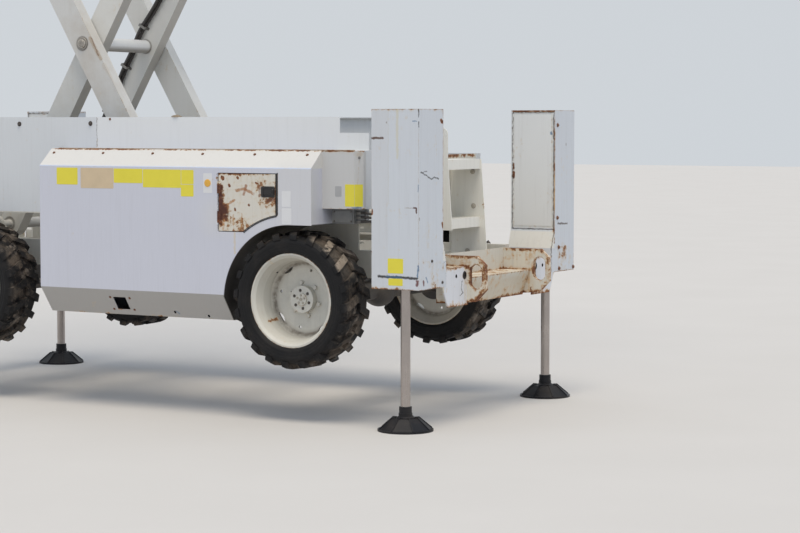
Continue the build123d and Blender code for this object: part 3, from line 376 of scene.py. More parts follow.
def tyre_rubber(name):
    """Black rubber with brown dust on the tread."""
    g = Graph(name)
    radius = g.around_axle()
    cloud = g.noise(5.5, 7, 0.7)
    speck = g.noise(60, 5, 0.7, shift=2)
    tread = radius.step(0.418, 0.438) * g.depth().step(1.14, 1.095)
    specks = speck.step(0.5, 0.75) * (tread * 0.3 + 0.04)
    dust = (cloud.step(0.47, 0.6) * (tread * 0.8 + 0.06) + specks).clamp()
    tint = g.mix(dust, (0.01, 0.01, 0.011), (0.125, 0.1, 0.078))
    mud = g.noise(8, 5, 0.65, shift=8).step(0.56, 0.66) * tread
    tint = g.mix(mud * 0.75, tint, (0.26, 0.22, 0.18))
    ring = g.math("SINE", radius * 330) * 0.5 * radius.step(0.43, 0.42)
    patch = g.near_box((1.64, -1.13, 1.03), (1.8, -1.02, 1.22), 0.07)
    patch *= g.noise(22, 5, 0.65, shift=15).step(0.34, 0.48)
    tint = g.mix(patch * radius.step(0.436, 0.452) * 0.9, tint, (0.36, 0.3, 0.235))
    g.bsdf.inputs["Specular IOR Level"].default_value = 0.22
    g.done(tint, dust * 0.25 + 0.58, normal=g.bump(ring + speck * 0.5, 0.0016, 0.6))


def plain(name, base, rough, scale=40, vary=0.18, metal=0):
    """A small part's finish: one colour with grain and wear."""
    g = Graph(name)
    cloud = g.noise(scale, 5, 0.65)
    tint = g.mix(cloud.step(0.3, 0.75) * vary * 2, base, [c * 0.55 for c in base])
    g.bsdf.inputs["Metallic"].default_value = metal
    g.done(tint, (cloud * 0.25 + (rough - 0.12)).clamp(), normal=g.bump(cloud, 0.0004, 0.4))


def on_side(y, rows):
    """Marks given as (x, z) points on a wall that faces along Y."""
    return [([(x, y, z) for x, z in points], *rest) for points, *rest in rows]


def on_front(x, rows):
    """Marks given as (y, z) points on a wall that faces along X."""
    return [([(x, y, z) for y, z in points], *rest) for points, *rest in rows]


# Marks on the outrigger housings, nearly all at the ladder end
POST_MARKS = on_side(-POST_Y, [
    ([(2.075, 1.926), (2.172, 1.924)], 0.016, (0.1, 0.045, 0.025), 0.95),
    ([(2.137, 1.023), (2.428, 1.019)], 0.019, (0.03, 0.028, 0.03), 0.95),
    ([(2.19, 1.025), (2.31, 1.021)], 0.01, BLUE, 0.8),
    ([(2.335, 1.474), (2.408, 1.474)], 0.006, (0.35, 0.3, 0.25), 0.6),
    ([(2.405, 1.476), (2.421, 1.474), (2.423, 1.444)], 0.013, RUST_DARK, 0.95),
    ([(2.279, 2.11), (2.279, 1.8)], 0.02, (0.62, 0.56, 0.38), 0.5),
    ([(2.212, 2.11), (2.212, 1.5)], 0.01, (0.56, 0.55, 0.5), 0.35),
    ([(2.439, 2.115), (2.439, 2.065)], 0.01, BLACK, 0.8),
    ([(2.439, 2.03), (2.439, 2)], 0.01, BLACK, 0.8),
    ([(2.439, 1.99), (2.439, 1.1)], 0.006, (0.48, 0.46, 0.42), 0.55),
    ([(2.395, 2.036), (2.425, 2.036)], 0.008, BLUE, 0.7),
    ([(2.4, 2.024), (2.418, 2.024)], 0.006, BLUE, 0.7),
    ([(2.436, 1.625), (2.436, 1.585)], 0.009, BLUE, 0.7),
    ([(2.437, 1.1), (2.43, 1.03)], 0.014, BLUE, 0.8),
    ([(2.428, 0.998), (2.428, 0.975)], 0.022, DRIED_RED, 0.9),
    ([(2.088, 1.45), (2.088, 1.43)], 0.016, None, 0.3),
    ([(2.2, 2.03), (2.2, 2.025)], 0.01, (0.2, 0.15, 0.1), 0.8),
]) + on_front(POST_X, [
    ([(-1.141, 1.706), (-1, 1.658), (-0.962, 1.672), (-0.904, 1.66)], 0.01, (0.06, 0.06, 0.06),
     0.9),
    ([(-1.13, 1.703), (-1.062, 1.711)], 0.007, (0.1, 0.1, 0.1), 0.8),
    ([(-1.075, 1.02), (-1.05, 0.985)], 0.014, BLUE, 0.75),
    ([(-1.106, 0.994), (-1.104, 0.972)], 0.02, DRIED_RED, 0.9),
    ([(-0.87, 2.04), (-0.853, 2.03)], 0.028, None, 0.3),
    ([(-0.855, 1.365), (-0.85, 1.345)], 0.03, None, 0.3),
    ([(0.845, 1.95), (0.845, 1.66)], 0.01, None, 0.17),
    ([(0.845, 1.64), (0.845, 1.4)], 0.014, (0.55, 0.33, 0.14), 0.75),
    ([(0.902, 1.291), (1.057, 1.286)], 0.014, (0.1, 0.08, 0.07), 0.9),
    ([(1.03, 1.87), (1.03, 1.862)], 0.014, (0.12, 0.05, 0.03), 0.9),
    ([(-1.16, 1.41), (-1.16, 1.395)], 0.01, (0.2, 0.15, 0.1), 0.8),
]) + [
    ([(2.105, 0.843, 1.66), (2.105, 0.843, 1.63)], 0.026, None, 0.3),
    ([(2.105, 0.843, 1.72), (2.105, 0.843, 1.69)], 0.014, None, 0.3),
    ([(2.409, 0.843, 1.953), (2.411, 0.843, 1.945)], 0.018, BLUE, 0.75),
    ([(2.1, 0.845, 2.108), (2.43, 0.845, 2.108)], 0.02, None, 0.28),
    ([(2.098, 0.843, 1.25), (2.098, 0.843, 2.1), (2.43, 0.843, 2.1), (2.43, 0.843, 1.25),
      (2.098, 0.843, 1.25)], 0.009, (0.05, 0.042, 0.035), 0.85, True),
    ([(2.436, 0.842, 1.245), (2.436, 0.8, 1.115), (2.436, 0.8, 0.945)], 0.008, (0.1, 0.085, 0.07),
     0.8, True),
    ([(2.436, 0.843, 1.1), (2.436, 0.8, 1.108)], 0.007, (0.1, 0.085, 0.07), 0.8, True),
    ([(2.18, 0.82, 1.21), (2.25, 0.815, 1.17)], 0.008, BLUE, 0.4),
]
POST_SPOTS = [
    ((2.08, 0.84, 2.11), (2.45, 1.18, 2.12), 0.018, 0.1, True),
    ((2.08, 0.84, 0.93), (2.45, 1.18, 0.942), 0.02, 0.155, True),
    ((2.44, 0.84, 0.93), (2.45, 1.18, 1.12), 0.012, 0.085, True),
    ((2.43, 0.84, 1.15), (2.45, 0.845, 2.12), 0.01, 0.15, True),
]
POST_TINTS = [
    ((2, 0.7, 1.118), (2.5, 0.838, 1.245), 0.004, (0.78, 0.76, 0.69), 0.9, True),
    # Painted light: the far housings' recessed inner panels are lightened against their shade
    ((2.09, 0.838, 1.26), (2.428, 0.848, 2.1), 0.004, (0.8, 0.8, 0.77), 0.9, True),
    # Painted shade: a greyer band down the near housing's left side, where its face is slightly
    # hollow
    ((2.08, -1.18, 0.9), (2.205, -1.16, 2.2), 0.01, (0.6, 0.6, 0.6), 0.35),
]
# The tie-down plates' outline, as rust along their edges and round their holes
TIE_Y = 0.484
TIE_EDGE = [(2.22, 1.122), (2.508, 1.122), (2.568, 1.068), (2.572, 0.912), (2.5, 0.83),
            (2.36, 0.815)]
TIE_HOLE = [(2.458, 0.953), (2.458, 1.027), (2.504, 1.078), (2.55, 1.027), (2.55, 0.953),
            (2.504, 0.902), (2.458, 0.953)]
END_MARKS = [
    ([(x, TIE_Y, z) for x, z in TIE_EDGE], 0.048, None, 0.185, True),
    ([(x, TIE_Y, z) for x, z in TIE_HOLE], 0.046, None, 0.19, True),
] + on_front(END_X, [
    ([(-0.57, 0.965), (-0.585, 0.915), (-0.56, 0.885), (-0.6, 0.87)], 0.01, (0.1, 0.1, 0.1), 0.8),
    ([(-0.53, 1.05), (-0.53, 0.83)], 0.014, (0.62, 0.5, 0.3), 0.6),
    ([(0.385, 0.862), (0.464, 0.855), (0.464, 0.835)], 0.012, None, 0.25),
    ([(-0.455, 0.935), (0.3, 0.935)], 0.01, (0.62, 0.5, 0.32), 0.5),
])
END_SPOTS = [
    ((2.2, 0, 0.795), (2.45, 0.8, 0.803), 0.045, 0.185, True),
    ((2.35, 0, 0.8), (2.45, 0.455, 0.97), 0.02, 0.06, True),
    ((2.2, 0, 0.975), (2.45, 0.48, 0.985), 0.014, 0.1, True),
    ((2.2, 0.48, 1.05), (2.45, 0.8, 1.065), 0.016, 0.15, True),
    ((2.26, 0.46, 1.08), (2.6, 0.51, 1.14), 0.03, 0.07, True),
]
END_TINTS = [
    ((2.42, 0.508, 0.79), (2.45, 0.82, 1.07), 0.004, (0.72, 0.74, 0.78), 0.9, True),
    ((2.2, 0, 0.99), (2.3, 0.47, 1.14), 0.004, (0.66, 0.64, 0.57), 0.8, True),
    ((2.36, 0, 0.8), (2.45, 0.455, 0.93), 0.03, (0.62, 0.5, 0.33), 0.45, True),
]
COVER_MARKS = [
    ([(x, -1.1, 0.792), (x + 0.004, -1.1, 0.79)], 0.022, None, 0.26) for x in (-0.108, 0.061)
] + [
    ([(-0.085, -1.04, 0.703), (0.03, -1.04, 0.703)], 0.016, None, 0.2),
    ([(0.425, -1.036, 0.71), (0.44, -1.03, 0.695)], 0.018, BLUE, 0.6),
    ([(0.985, -COVER_Y, 1.275), (0.985, -COVER_Y, 1.14)], 0.016, (0.62, 0.52, 0.36), 0.6),
    ([(0.79, -COVER_Y, 1.635), (0.806, -COVER_Y, 1.635)], 0.024, None, 0.24),
    ([(1.335, -COVER_Y, 1.4), (1.335, -COVER_Y, 1.68)], 0.008, (0.45, 0.35, 0.25), 0.5),
    ([(-0.66, -1.003, 1.836), (1.6, -1.003, 1.836)], 0.02, None, 0.23),
    # Painted highlight: a blue-white line along the cover's fold
    ([(-0.7, -COVER_Y, 1.722), (1.6, -COVER_Y, 1.722)], 0.014, (0.6, 0.68, 0.84), 0.7),
    ([(1.605, -1.09, 0.8), (1.605, -1.04, 0.7)], 0.03, (0.55, 0.42, 0.24), 0.6),
    ([(0.845, -COVER_Y, 1.29), (0.845, -COVER_Y, 1.68)], 0.006, (0.1, 0.07, 0.05), 0.7),
    ([(0.84, -COVER_Y, 1.65), (0.845, -COVER_Y, 1.645)], 0.026, None, 0.24),
    ([(0.838, -COVER_Y, 1.345), (0.842, -COVER_Y, 1.34)], 0.018, (0.72, 0.74, 0.76), 0.8),
]
COVER_SPOTS = [
    ((-0.71, 0.985, 1.834), (1.9, 1.001, 1.845), 0.008, 0.19, True),
    ((1.45, 1, 0.66), (1.61, 1.15, 0.7), 0.05, 0.1, True),
    ((-0.7, 1, 0.66), (0.9, 1.03, 0.672), 0.012, 0.11, True),
]
COVER_TINTS = [
    ((-0.71, 1, 0.66), (1.61, 1.138, 0.848), 0.004, (0.455, 0.445, 0.42), 0.9, True),
    # Painted light: the covers' top slopes are tinted warm cream, as the sun lights them
    ((-0.71, 1, 1.722), (1.61, 1.138, 1.85), 0.004, (0.72, 0.7, 0.645), 0.85, True),
    ((1.36, -1.15, 1.34), (1.61, -1.135, 1.715), 0.1, (0.64, 0.635, 0.62), 0.6),
    ((0.8, -1.15, 1.35), (1.2, -1.135, 1.42), 0.14, (0.66, 0.65, 0.62), 0.4),
]
WALL_MARKS = [
    ([(-0.438, -WALL_Y, 2.06), (-0.438, -WALL_Y, 1.852)], 0.007, (0.22, 0.19, 0.17), 0.75),
    ([(-0.438, -WALL_Y, 1.9), (-0.438, -WALL_Y, 1.852)], 0.014, None, 0.19),
    # Partly a brown stain, partly painted shade under the ledge on the fender
    ([(1.7, -0.981, 1.835), (1.88, -0.975, 1.815)], 0.04, (0.5, 0.4, 0.28), 0.5),
    ([(1.875, -0.975, 1.8), (1.865, -0.985, 1.6)], 0.01, (0.5, 0.42, 0.32), 0.5),
    ([(1.838, -1, 1.458), (1.853, -1, 1.458), (1.885, -0.973, 1.458)], 0.014, BLUE, 0.75),
]
WALL_SPOTS = [
    ((1.89, -0.1, 1.785), (1.93, 0.6, 1.81), 0.025, 0.2),
    ((1.89, -0.6, 1.79), (1.93, -0.1, 1.81), 0.012, 0.14),
    ((1.6, 0.95, 1.834), (1.905, 1.001, 1.845), 0.012, 0.21, True),
    ((1.6, 0.95, 1.448), (1.905, 1.001, 1.453), 0.008, 0.13, True),
]
WALL_TINTS = [
    ((-0.434, -0.83, 1.8), (1.95, -0.79, 2.12), 0.004, (0.8, 0.81, 0.8), 0.7),
    ((1.6, 0.93, 1.44), (1.92, 1.02, 1.832), 0.004, (0.56, 0.55, 0.53), 0.8, True),
]
HATCH_SPOTS = [
    ((0.85, -1.15, 1.34), (0.872, -1.13, 1.59), 0.045, 0.26),
    ((0.85, -1.15, 1.36), (0.91, -1.13, 1.46), 0.04, 0.22),
    ((0.85, -1.15, 1.28), (1.05, -1.13, 1.34), 0.09, 0.085),
    ((1.2, -1.15, 1.49), (1.32, -1.13, 1.62), 0.05, 0.1),
    ((0.85, -1.15, 1.675), (1.32, -1.13, 1.685), 0.016, 0.12),
]
HATCH_MARKS = on_side(-COVER_Y, [
    ([(0.868, 1.58), (0.868, 1.38)], 0.052, (0.075, 0.024, 0.016), 0.95),
    ([(0.885, 1.43), (0.905, 1.405)], 0.07, (0.08, 0.027, 0.017), 0.95),
    ([(1, 1.565), (1.06, 1.578), (1.14, 1.545)], 0.022, (0.36, 0.16, 0.055), 0.8),
    ([(1.08, 1.6), (1.06, 1.54)], 0.02, (0.3, 0.12, 0.045), 0.8),
    ([(0.93, 1.47), (0.985, 1.5)], 0.016, (0.42, 0.2, 0.08), 0.8),
    ([(1.255, 1.5), (1.305, 1.515)], 0.026, (0.16, 0.065, 0.035), 0.85),
    ([(1.19, 1.6), (1.19, 1.53)], 0.02, (0.22, 0.09, 0.04), 0.8),
    ([(0.9, 1.36), (0.89, 1.3)], 0.018, (0.48, 0.24, 0.09), 0.7),
    ([(0.975, 1.4), (0.975, 1.31)], 0.012, (0.48, 0.26, 0.1), 0.6),
    ([(1.045, 1.41), (1.04, 1.31)], 0.01, (0.48, 0.26, 0.1), 0.6),
    ([(0.886, 1.652), (0.89, 1.648)], 0.03, None, 0.3),
    ([(0.94, 1.6), (0.945, 1.595)], 0.018, None, 0.3),
    ([(1.01, 1.655), (1.015, 1.65)], 0.016, None, 0.3),
    ([(1.16, 1.62), (1.17, 1.615)], 0.018, None, 0.3),
    ([(1.1, 1.47), (1.105, 1.465)], 0.018, None, 0.3),
    ([(0.99, 1.44), (0.99, 1.43)], 0.016, None, 0.3),
])
ARM_SCUFFS = on_side(-ARM_Y, [
    ([(-0.735, 2.65), (-0.636, 2.498)], 0.03, (0.42, 0.33, 0.23), 0.7),
    ([(-0.722, 2.655), (-0.655, 2.52)], 0.011, (0.22, 0.13, 0.08), 0.75),
    ([(-0.7, 2.65), (-0.69, 2.6)], 0.01, (0.28, 0.17, 0.1), 0.6),
    ([(-0.6, 2.45), (-0.48, 2.3)], 0.05, (0.5, 0.42, 0.33), 0.4),
    ([(-0.419, 2.229), (-0.41, 2.222)], 0.022, None, 0.3),
])

# Painted light: the far arms are painted lighter where the nearer arms shade them; the near inner
# arms and the lowest cross tube are painted lighter too
ARM_TINTS = [
    ((-3, 0.25, 1), (3, 0.6, 14), 0.02, (0.82, 0.8, 0.74), 0.75),
    ((-3, -0.4, 1), (3, -0.27, 14), 0.02, (0.76, 0.75, 0.69), 0.45),
]
TUBE_TINT = [((-0.87, -0.26, 2.55), (-0.74, 0.27, 2.67), 0.01, (0.86, 0.86, 0.84), 0.85)]

ARM_WHITE = (0.625, 0.618, 0.59)
paint("post_paint", (0.635, 0.665, 0.7), -0.012, streaks=0.28, edge=0.1,
      spots=POST_SPOTS, marks=POST_MARKS, tints=POST_TINTS)
paint("end_paint", (0.7, 0.665, 0.575), 0.02, dirt=0.35, streaks=0.4, edge=0.08,
      stain=(0.58, 0.37, 0.17), stained=0.85, spots=END_SPOTS, marks=END_MARKS, tints=END_TINTS)
paint("frame_paint", (0.66, 0.64, 0.57), 0.005, dirt=0.6, streaks=0.3, film=0.3, underside_shade=0.6,
      spots=WALL_SPOTS[:2])
paint("ladder_paint", (0.8, 0.785, 0.72), -0.01, dirt=0.2, streaks=0.3, edge=0.05,
      spots=WALL_SPOTS[:2])
paint("wall_paint", (0.68, 0.7, 0.71), -0.04, dirt=0.2, streaks=0.15, edge=0.06,
      spots=WALL_SPOTS, marks=WALL_MARKS, tints=WALL_TINTS)
paint("cover_paint", (0.615, 0.625, 0.69), -0.05, dirt=0.14, streaks=0.14, edge=0.035,
      spots=COVER_SPOTS, marks=COVER_MARKS, tints=COVER_TINTS, arch=True)
paint("hatch_paint", (0.69, 0.655, 0.575), 0.058, dirt=0.3, streaks=0.3, fine=34, edge=0.06,
      spots=HATCH_SPOTS, marks=HATCH_MARKS, broken=True)
paint("arm_paint", ARM_WHITE, -0.025, dirt=0.4, streaks=0.1, film=0.55, underside_shade=0.75, edge=0.06,
      tints=ARM_TINTS + TUBE_TINT, arms=True)
paint("arm_low_paint", ARM_WHITE, -0.02, dirt=0.45, streaks=0.1, film=0.6, underside_shade=0.75, edge=0.1,
      marks=ARM_SCUFFS, tints=ARM_TINTS, arms=True)
paint("deck_paint", (0.66, 0.65, 0.61), 0.01, dirt=0.5, streaks=0.2, tread=True)
paint("rail_paint", ARM_WHITE, -0.02, dirt=0.2, streaks=0.15, fine=50)
paint("rim_paint", (0.655, 0.635, 0.565), -0.01, dirt=0.5, streaks=0.25, rough=0.5, edge=0.08,
      spots=[((1.2, -1.05, 0.677), (1.212, -0.95, 0.692), 0.017, 0.22)], disc=True)
paint("ledge_rust", (0.4, 0.3, 0.21), 0.12, dirt=0.5, fine=22)
iron_paint("axle_iron", (0.055, 0.052, 0.05))
iron_paint("pad_black", (0.01, 0.011, 0.015), dust=0.1, rough=0.42, shine=0.25)
iron_paint("barrel_black", (0.05, 0.052, 0.056), dust=0.2, rough=0.4)
iron_paint("engine_black", (0.05, 0.05, 0.05))
steel("rod_steel", (0.46, 0.415, 0.39), rough=0.27)
steel("pin_steel", (0.42, 0.4, 0.38), rough=0.42, along=(1, 1, 1), rusty=0.06)
tyre_rubber("tyre_rubber")

# Small parts' finishes: name, colour, roughness, grain scale, wear, metal
FINISHES = [
    ("valve_grey", (0.14, 0.14, 0.135), 0.45, 14),
    ("control_grey", (0.045, 0.047, 0.05), 0.5),
    ("black_plastic", BLACK, 0.45),
    ("hose_rubber", (0.04, 0.034, 0.031), 0.5, 80),
    ("rusty_bolt", (0.22, 0.1, 0.055), 0.7, 90, 0.35),
    ("bright_bolt", (0.3, 0.29, 0.27), 0.42, 90, 0.25, 0.6),
    ("dark_bolt", (0.1, 0.085, 0.075), 0.5, 90, 0.25, 0.3),
    ("cap_steel", (0.36, 0.33, 0.29), 0.45, 30, 0.3, 0.3),
    ("cream_bolt", (0.46, 0.42, 0.35), 0.5, 60, 0.25),
    ("yellow_sticker", (0.8, 0.7, 0.055), 0.4, 12, 0.06),
    ("peach_sticker", (0.66, 0.52, 0.34), 0.45, 12, 0.1),
    ("white_sticker", (0.74, 0.74, 0.74), 0.4, 12, 0.05),
    ("grey_sticker", (0.42, 0.42, 0.42), 0.4, 12, 0.1),
    ("orange_dot", (0.78, 0.42, 0.06), 0.35, 40, 0.05),
    ("red_plastic", (0.5, 0.03, 0.02), 0.35, 40, 0.1),
    ("green_plastic", (0.03, 0.22, 0.06), 0.4, 40, 0.1),
    ("dried_clod", (0.3, 0.24, 0.17), 0.9, 60, 0.3),
]
for finish in FINISHES:
    plain(*finish)

# Each finish's nodes, by how their names start; the first that fits is taken
PAINTED = {
    "frame_paint": "chassis_frame", "ladder_paint": "ladder", "hatch_paint": "control_hatch",
    "wall_paint": "side_wall", "cover_paint": "side_cover", "end_paint": "end_frame",
    "post_paint": "outrigger_posts", "rail_paint": ("main_rails", "gate"),
    "deck_paint": ("deck", "extension_deck"), "arm_low_paint": "outer_arms_1",
    "arm_paint": ("inner_arms", "outer_arms"), "rim_paint": "rim_", "tyre_rubber": "tyre_",
    "axle_iron": ("fixed_axle", "steer_axle", "knuckle"), "engine_black": "engine_block",
    "rod_steel": ("steer_rod", "leg_rod", "lift_rod"), "barrel_black": "lift_barrel",
    "pad_black": "leg_pad", "pin_steel": ("lower_slider", "upper_slider"),
    "control_grey": "control_box", "valve_grey": "valve_box",
}
for name, obj in nodes.items():
    finish = next(mat for mat, starts in PAINTED.items() if name.startswith(starts))
    obj.data.materials.clear()
    obj.data.materials.append(MATERIALS[finish])


def add(name, data):
    """A new object in the scene."""
    obj = bpy.data.objects.new(name, data)
    scene.collection.objects.link(obj)
    return obj


def piece(name, shape, mat, body="chassis"):
    """A finished bmesh or curve as a piece that rides on a body."""
    if isinstance(shape, bmesh.types.BMesh):
        bmesh.ops.recalc_face_normals(shape, faces=shape.faces)
        data = bpy.data.meshes.new(name)
        shape.to_mesh(data)
        shape.free()
    else:
        data = shape
    data.materials.append(MATERIALS[mat])
    obj = add(name, data)
    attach(obj, body)


def lathe(bm, at, axis, profile, sides):
    """A turned or many-sided form.

    profile is (radius, height) pairs, from axis to axis or closed on itself.
    """
    up = Vector(axis).normalized()
    u = up.orthogonal().normalized()
    v = up.cross(u)
    rings = []
    for r, h in profile:
        centre = Vector(at) + up * h
        turns = [2 * pi * k / sides for k in range(sides)] if r else [0]
        rings.append([bm.verts.new(centre + u * r * cos(t) + v * r * sin(t))
                      for t in turns])
    for low, high in zip(rings, rings[1:]):
        for k in range(sides):
            around = [low[k % len(low)], low[(k + 1) % len(low)],
                      high[(k + 1) % len(high)], high[k % len(high)]]
            bm.faces.new(list(dict.fromkeys(around)))


def rounded(w, h, r, steps=4):
    """The outline of a rectangle with round corners."""
    points = []
    for sx, sy, start in ((1, 1, 0), (-1, 1, 90), (-1, -1, 180), (1, -1, 270)):
        for k in range(steps + 1):
            t = radians(start + 90 * k / steps)
            points.append((sx * (w / 2 - r) + r * cos(t), sy * (h / 2 - r) + r * sin(t)))
    return points


def slab(bm, at, u, v, outline, thick, inset=0):
    """An outline along u and v, raised by its thickness, its upper edge drawn in by inset."""
    u, v = Vector(u).normalized(), Vector(v).normalized()
    up = u.cross(v)
    reach = max(max(abs(a), abs(b)) for a, b in outline)
    rings = []
    for lift, share in ((0, 1), (thick - inset, 1), (thick, 1 - inset / reach)):
        if lift or not rings:
            rings.append([bm.verts.new(Vector(at) + (u * a + v * b) * share + up * lift)
                          for a, b in outline])
    n = len(outline)
    for low, high in zip(rings, rings[1:]):
        for k in range(n):
            bm.faces.new([low[k], low[(k + 1) % n], high[(k + 1) % n], high[k]])
    bm.faces.new(rings[0][::-1])
    bm.faces.new(rings[-1])


def turned(name, at, axis, profile, sides, mat, body="chassis"):
    """A piece of one turned form."""
    bm = bmesh.new()
    lathe(bm, at, axis, profile, sides)
    piece(name, bm, mat, body)


def plate(name, at, u, v, size, thick, inset, mat, body="chassis"):
    """A piece of one slab: size is (width, height, corner radius)."""
    bm = bmesh.new()
    slab(bm, at, u, v, rounded(*size), thick, inset)
    piece(name, bm, mat, body)


def hex_bolt(bm, at, axis, r):
    """A hexagon head on a washer."""
    washer = [(0, -0.002), (1.35 * r, -0.002), (1.35 * r, 0.18 * r), (0, 0.18 * r)]
    head = [(0, 0.1 * r), (r, 0.1 * r), (r, 0.75 * r), (0.82 * r, 0.9 * r), (0, 0.9 * r)]
    lathe(bm, at, axis, washer, 14)
    lathe(bm, at, axis, head, 6)


def bolts(name, places, axis, r, mat, body="chassis"):
    """Hexagon bolts of one size, in a row or a ring."""
    bm = bmesh.new()
    for at in places:
        hex_bolt(bm, at, axis, r)
    piece(name, bm, mat, body)


def hose(name, lines, radius, body, mat="hose_rubber"):
    """Round hoses or pipes along smooth lines."""
    data = bpy.data.curves.new(name, "CURVE")
    data.dimensions = "3D"
    data.bevel_depth = radius
    data.bevel_resolution = 3
    data.resolution_u = 8
    data.use_fill_caps = True
    for points in lines:
        spline = data.splines.new("NURBS")
        spline.points.add(len(points) - 1)
        for point, at in zip(spline.points, points):
            point.co = (*at, 1)
        spline.order_u = 4
        spline.use_endpoint_u = True
    piece(name, data, mat, body)


LABEL_THICK = 0.0009
LABEL_SUNK = 0.0002


def labels(name, places, mat, y):
    """Thin blank labels on a wall that faces -Y: places are (low x, low z, high x, high z)."""
    bm = bmesh.new()
    for x0, z0, x1, z1 in places:
        at = ((x0 + x1) / 2, y + LABEL_SUNK, (z0 + z1) / 2)
        slab(bm, at, (1, 0, 0), (0, 0, 1), rounded(x1 - x0, z1 - z0, 0.006), LABEL_THICK)
    piece(name, bm, mat)


X, Y, Z = Vector((1, 0, 0)), Vector((0, 1, 0)), Vector((0, 0, 1))

# Blank labels and small fittings on the near side
strip = [(-0.545, 1.586, -0.357, 1.706), (-0.037, 1.604, 0.212, 1.704),
         (0.216, 1.576, 0.54, 1.702), (0.543, 1.603, 0.647, 1.701), (0.54, 1.518, 0.646, 1.6)]
white_signs = [(0.728, 1.545, 0.8, 1.68), (1.367, 1.462, 1.438, 1.568),
               (1.367, 1.345, 1.443, 1.453)]
post_signs = [(2.208, 1.046, 2.323, 1.143), (2.212, 0.966, 2.32, 1.012)]
labels("labels_yellow", strip, "yellow_sticker", -COVER_Y)
labels("labels_peach", [(-0.33, 1.563, -0.04, 1.706)], "peach_sticker", -COVER_Y)
labels("labels_white", white_signs, "white_sticker", -COVER_Y)
labels("label_grey", [(1.702, 1.532, 1.752, 1.602)], "grey_sticker", -LEDGE_Y)
labels("labels_post", post_signs, "yellow_sticker", -POST_Y)
dot = [(0, -0.001), (0.026, -0.001), (0.026, 0.003), (0.022, 0.005), (0, 0.006)]
turned("label_dot", (0.764, -COVER_Y, 1.613), -Y, dot, 28, "orange_dot")

# A label bent round the fender's fold: run is the second half's way along the slanting wall
bm = bmesh.new()
slab(bm, (1.816, -LEDGE_Y + LABEL_SUNK, 1.541), X, Z, rounded(0.073, 0.148, 0.004), LABEL_THICK)
run_x, run_y = 0.047, 0.04
at = (1.853 + 0.47 * run_x, -LEDGE_Y + 0.47 * run_y, 1.541)
slab(bm, at, (run_x, run_y, 0), Z, rounded(0.056, 0.148, 0.004), LABEL_THICK)
piece("label_fender", bm, "yellow_sticker")

for side, sign, last in (("near", -1, 1.506), ("far", 1, 1.4)):
    row = [(x, sign * 1.036, 1.8091) for x in (-0.65, -0.208, 0.226, 0.652, 1.083, last)]
    bolts("ledge_bolts_" + side, row, (0, sign * 0.651, 0.759), 0.008, "rusty_bolt")
near_wall = [(-1.156, -WALL_Y, 2.015), (-0.496, -WALL_Y, 2.019)]
far_wall = [(x, WALL_Y, 1.98) for x in (-1.156, -0.4, 0.4, 1.156)]
far_post = [(0.886, 2.007), (0.888, 1.334), (0.92, 0.963), (1.158, 0.962), (0.913, 1.118)]
near_post = [(POST_X, -0.853, 0.974), (POST_X, -0.995, 1.122)]
ladder = [(2.085, 0.242, 1.679), (2.092, 0.242, 1.436), (2.044, 0.242, 1.114)]
screws = [(-0.108, -1.099, 0.792), (0.061, -1.0975, 0.79),
          (-0.119, -1.037, 0.704), (0.06, -1.038, 0.705)]
bolts("wall_bolts_near", near_wall, -Y, 0.013, "dark_bolt")
bolts("wall_bolts_near_small", [(-0.319, -WALL_Y, 2.05)], -Y, 0.007, "rusty_bolt")
bolts("wall_bolts_far", far_wall, Y, 0.012, "dark_bolt")
bolts("post_bolts_far", [(POST_X, y, z) for y, z in far_post], X, 0.011, "rusty_bolt")
bolts("post_bolts_near", near_post, X, 0.008, "dark_bolt")
bolts("ladder_bolts", ladder, -Y, 0.014, "cream_bolt")
bolts("access_screws", screws, (0, -0.818, -0.575), 0.007, "rusty_bolt")
bolts("fender_rivet", [(1.878, -0.9787, 1.793)], (0.648, -0.762, 0), 0.007, "bright_bolt")

# Rubber plugs, a little sunk, in the holes of the end frames' front sheets
bm = bmesh.new()
for sx, sy in ((1, 1), (1, -1), (-1, 1), (-1, -1)):
    for y, r in ((0.535, 0.028), (0.653, 0.013)):
        cup = [(0, -0.009), (r, -0.009), (r, 0), (r - 0.002, 0.001), (r - 0.004, -0.006),
               (0, -0.007)]
        lathe(bm, (sx * END_X, sy * y, 1.002), X * sx, cup, 24)
piece("end_plugs", bm, "black_plastic")

# A lump of dried mud, lopsided, on the near wall's upper edge
bm = bmesh.new()
lump_x = 0.255
lump = [(0, 0), (0.03, 0), (0.027, 0.007), (0.02, 0.013), (0.01, 0.016), (0, 0.017)]
lathe(bm, (lump_x, -WALL_Y + 0.02, 2.064), Z, lump, 11)
for vert in bm.verts:
    vert.co.x += 0.006 * sin(vert.co.y * 260) + 0.3 * (vert.co.x - lump_x)
piece("wall_clod", bm, "dried_clod")

# The strip along the ledge above the near cover
plate("ledge_strip", (0.61, -0.9975, 1.8405), X, Y, (2.49, 0.009, 0.002), 0.0045, 0.001,
      "ledge_rust")

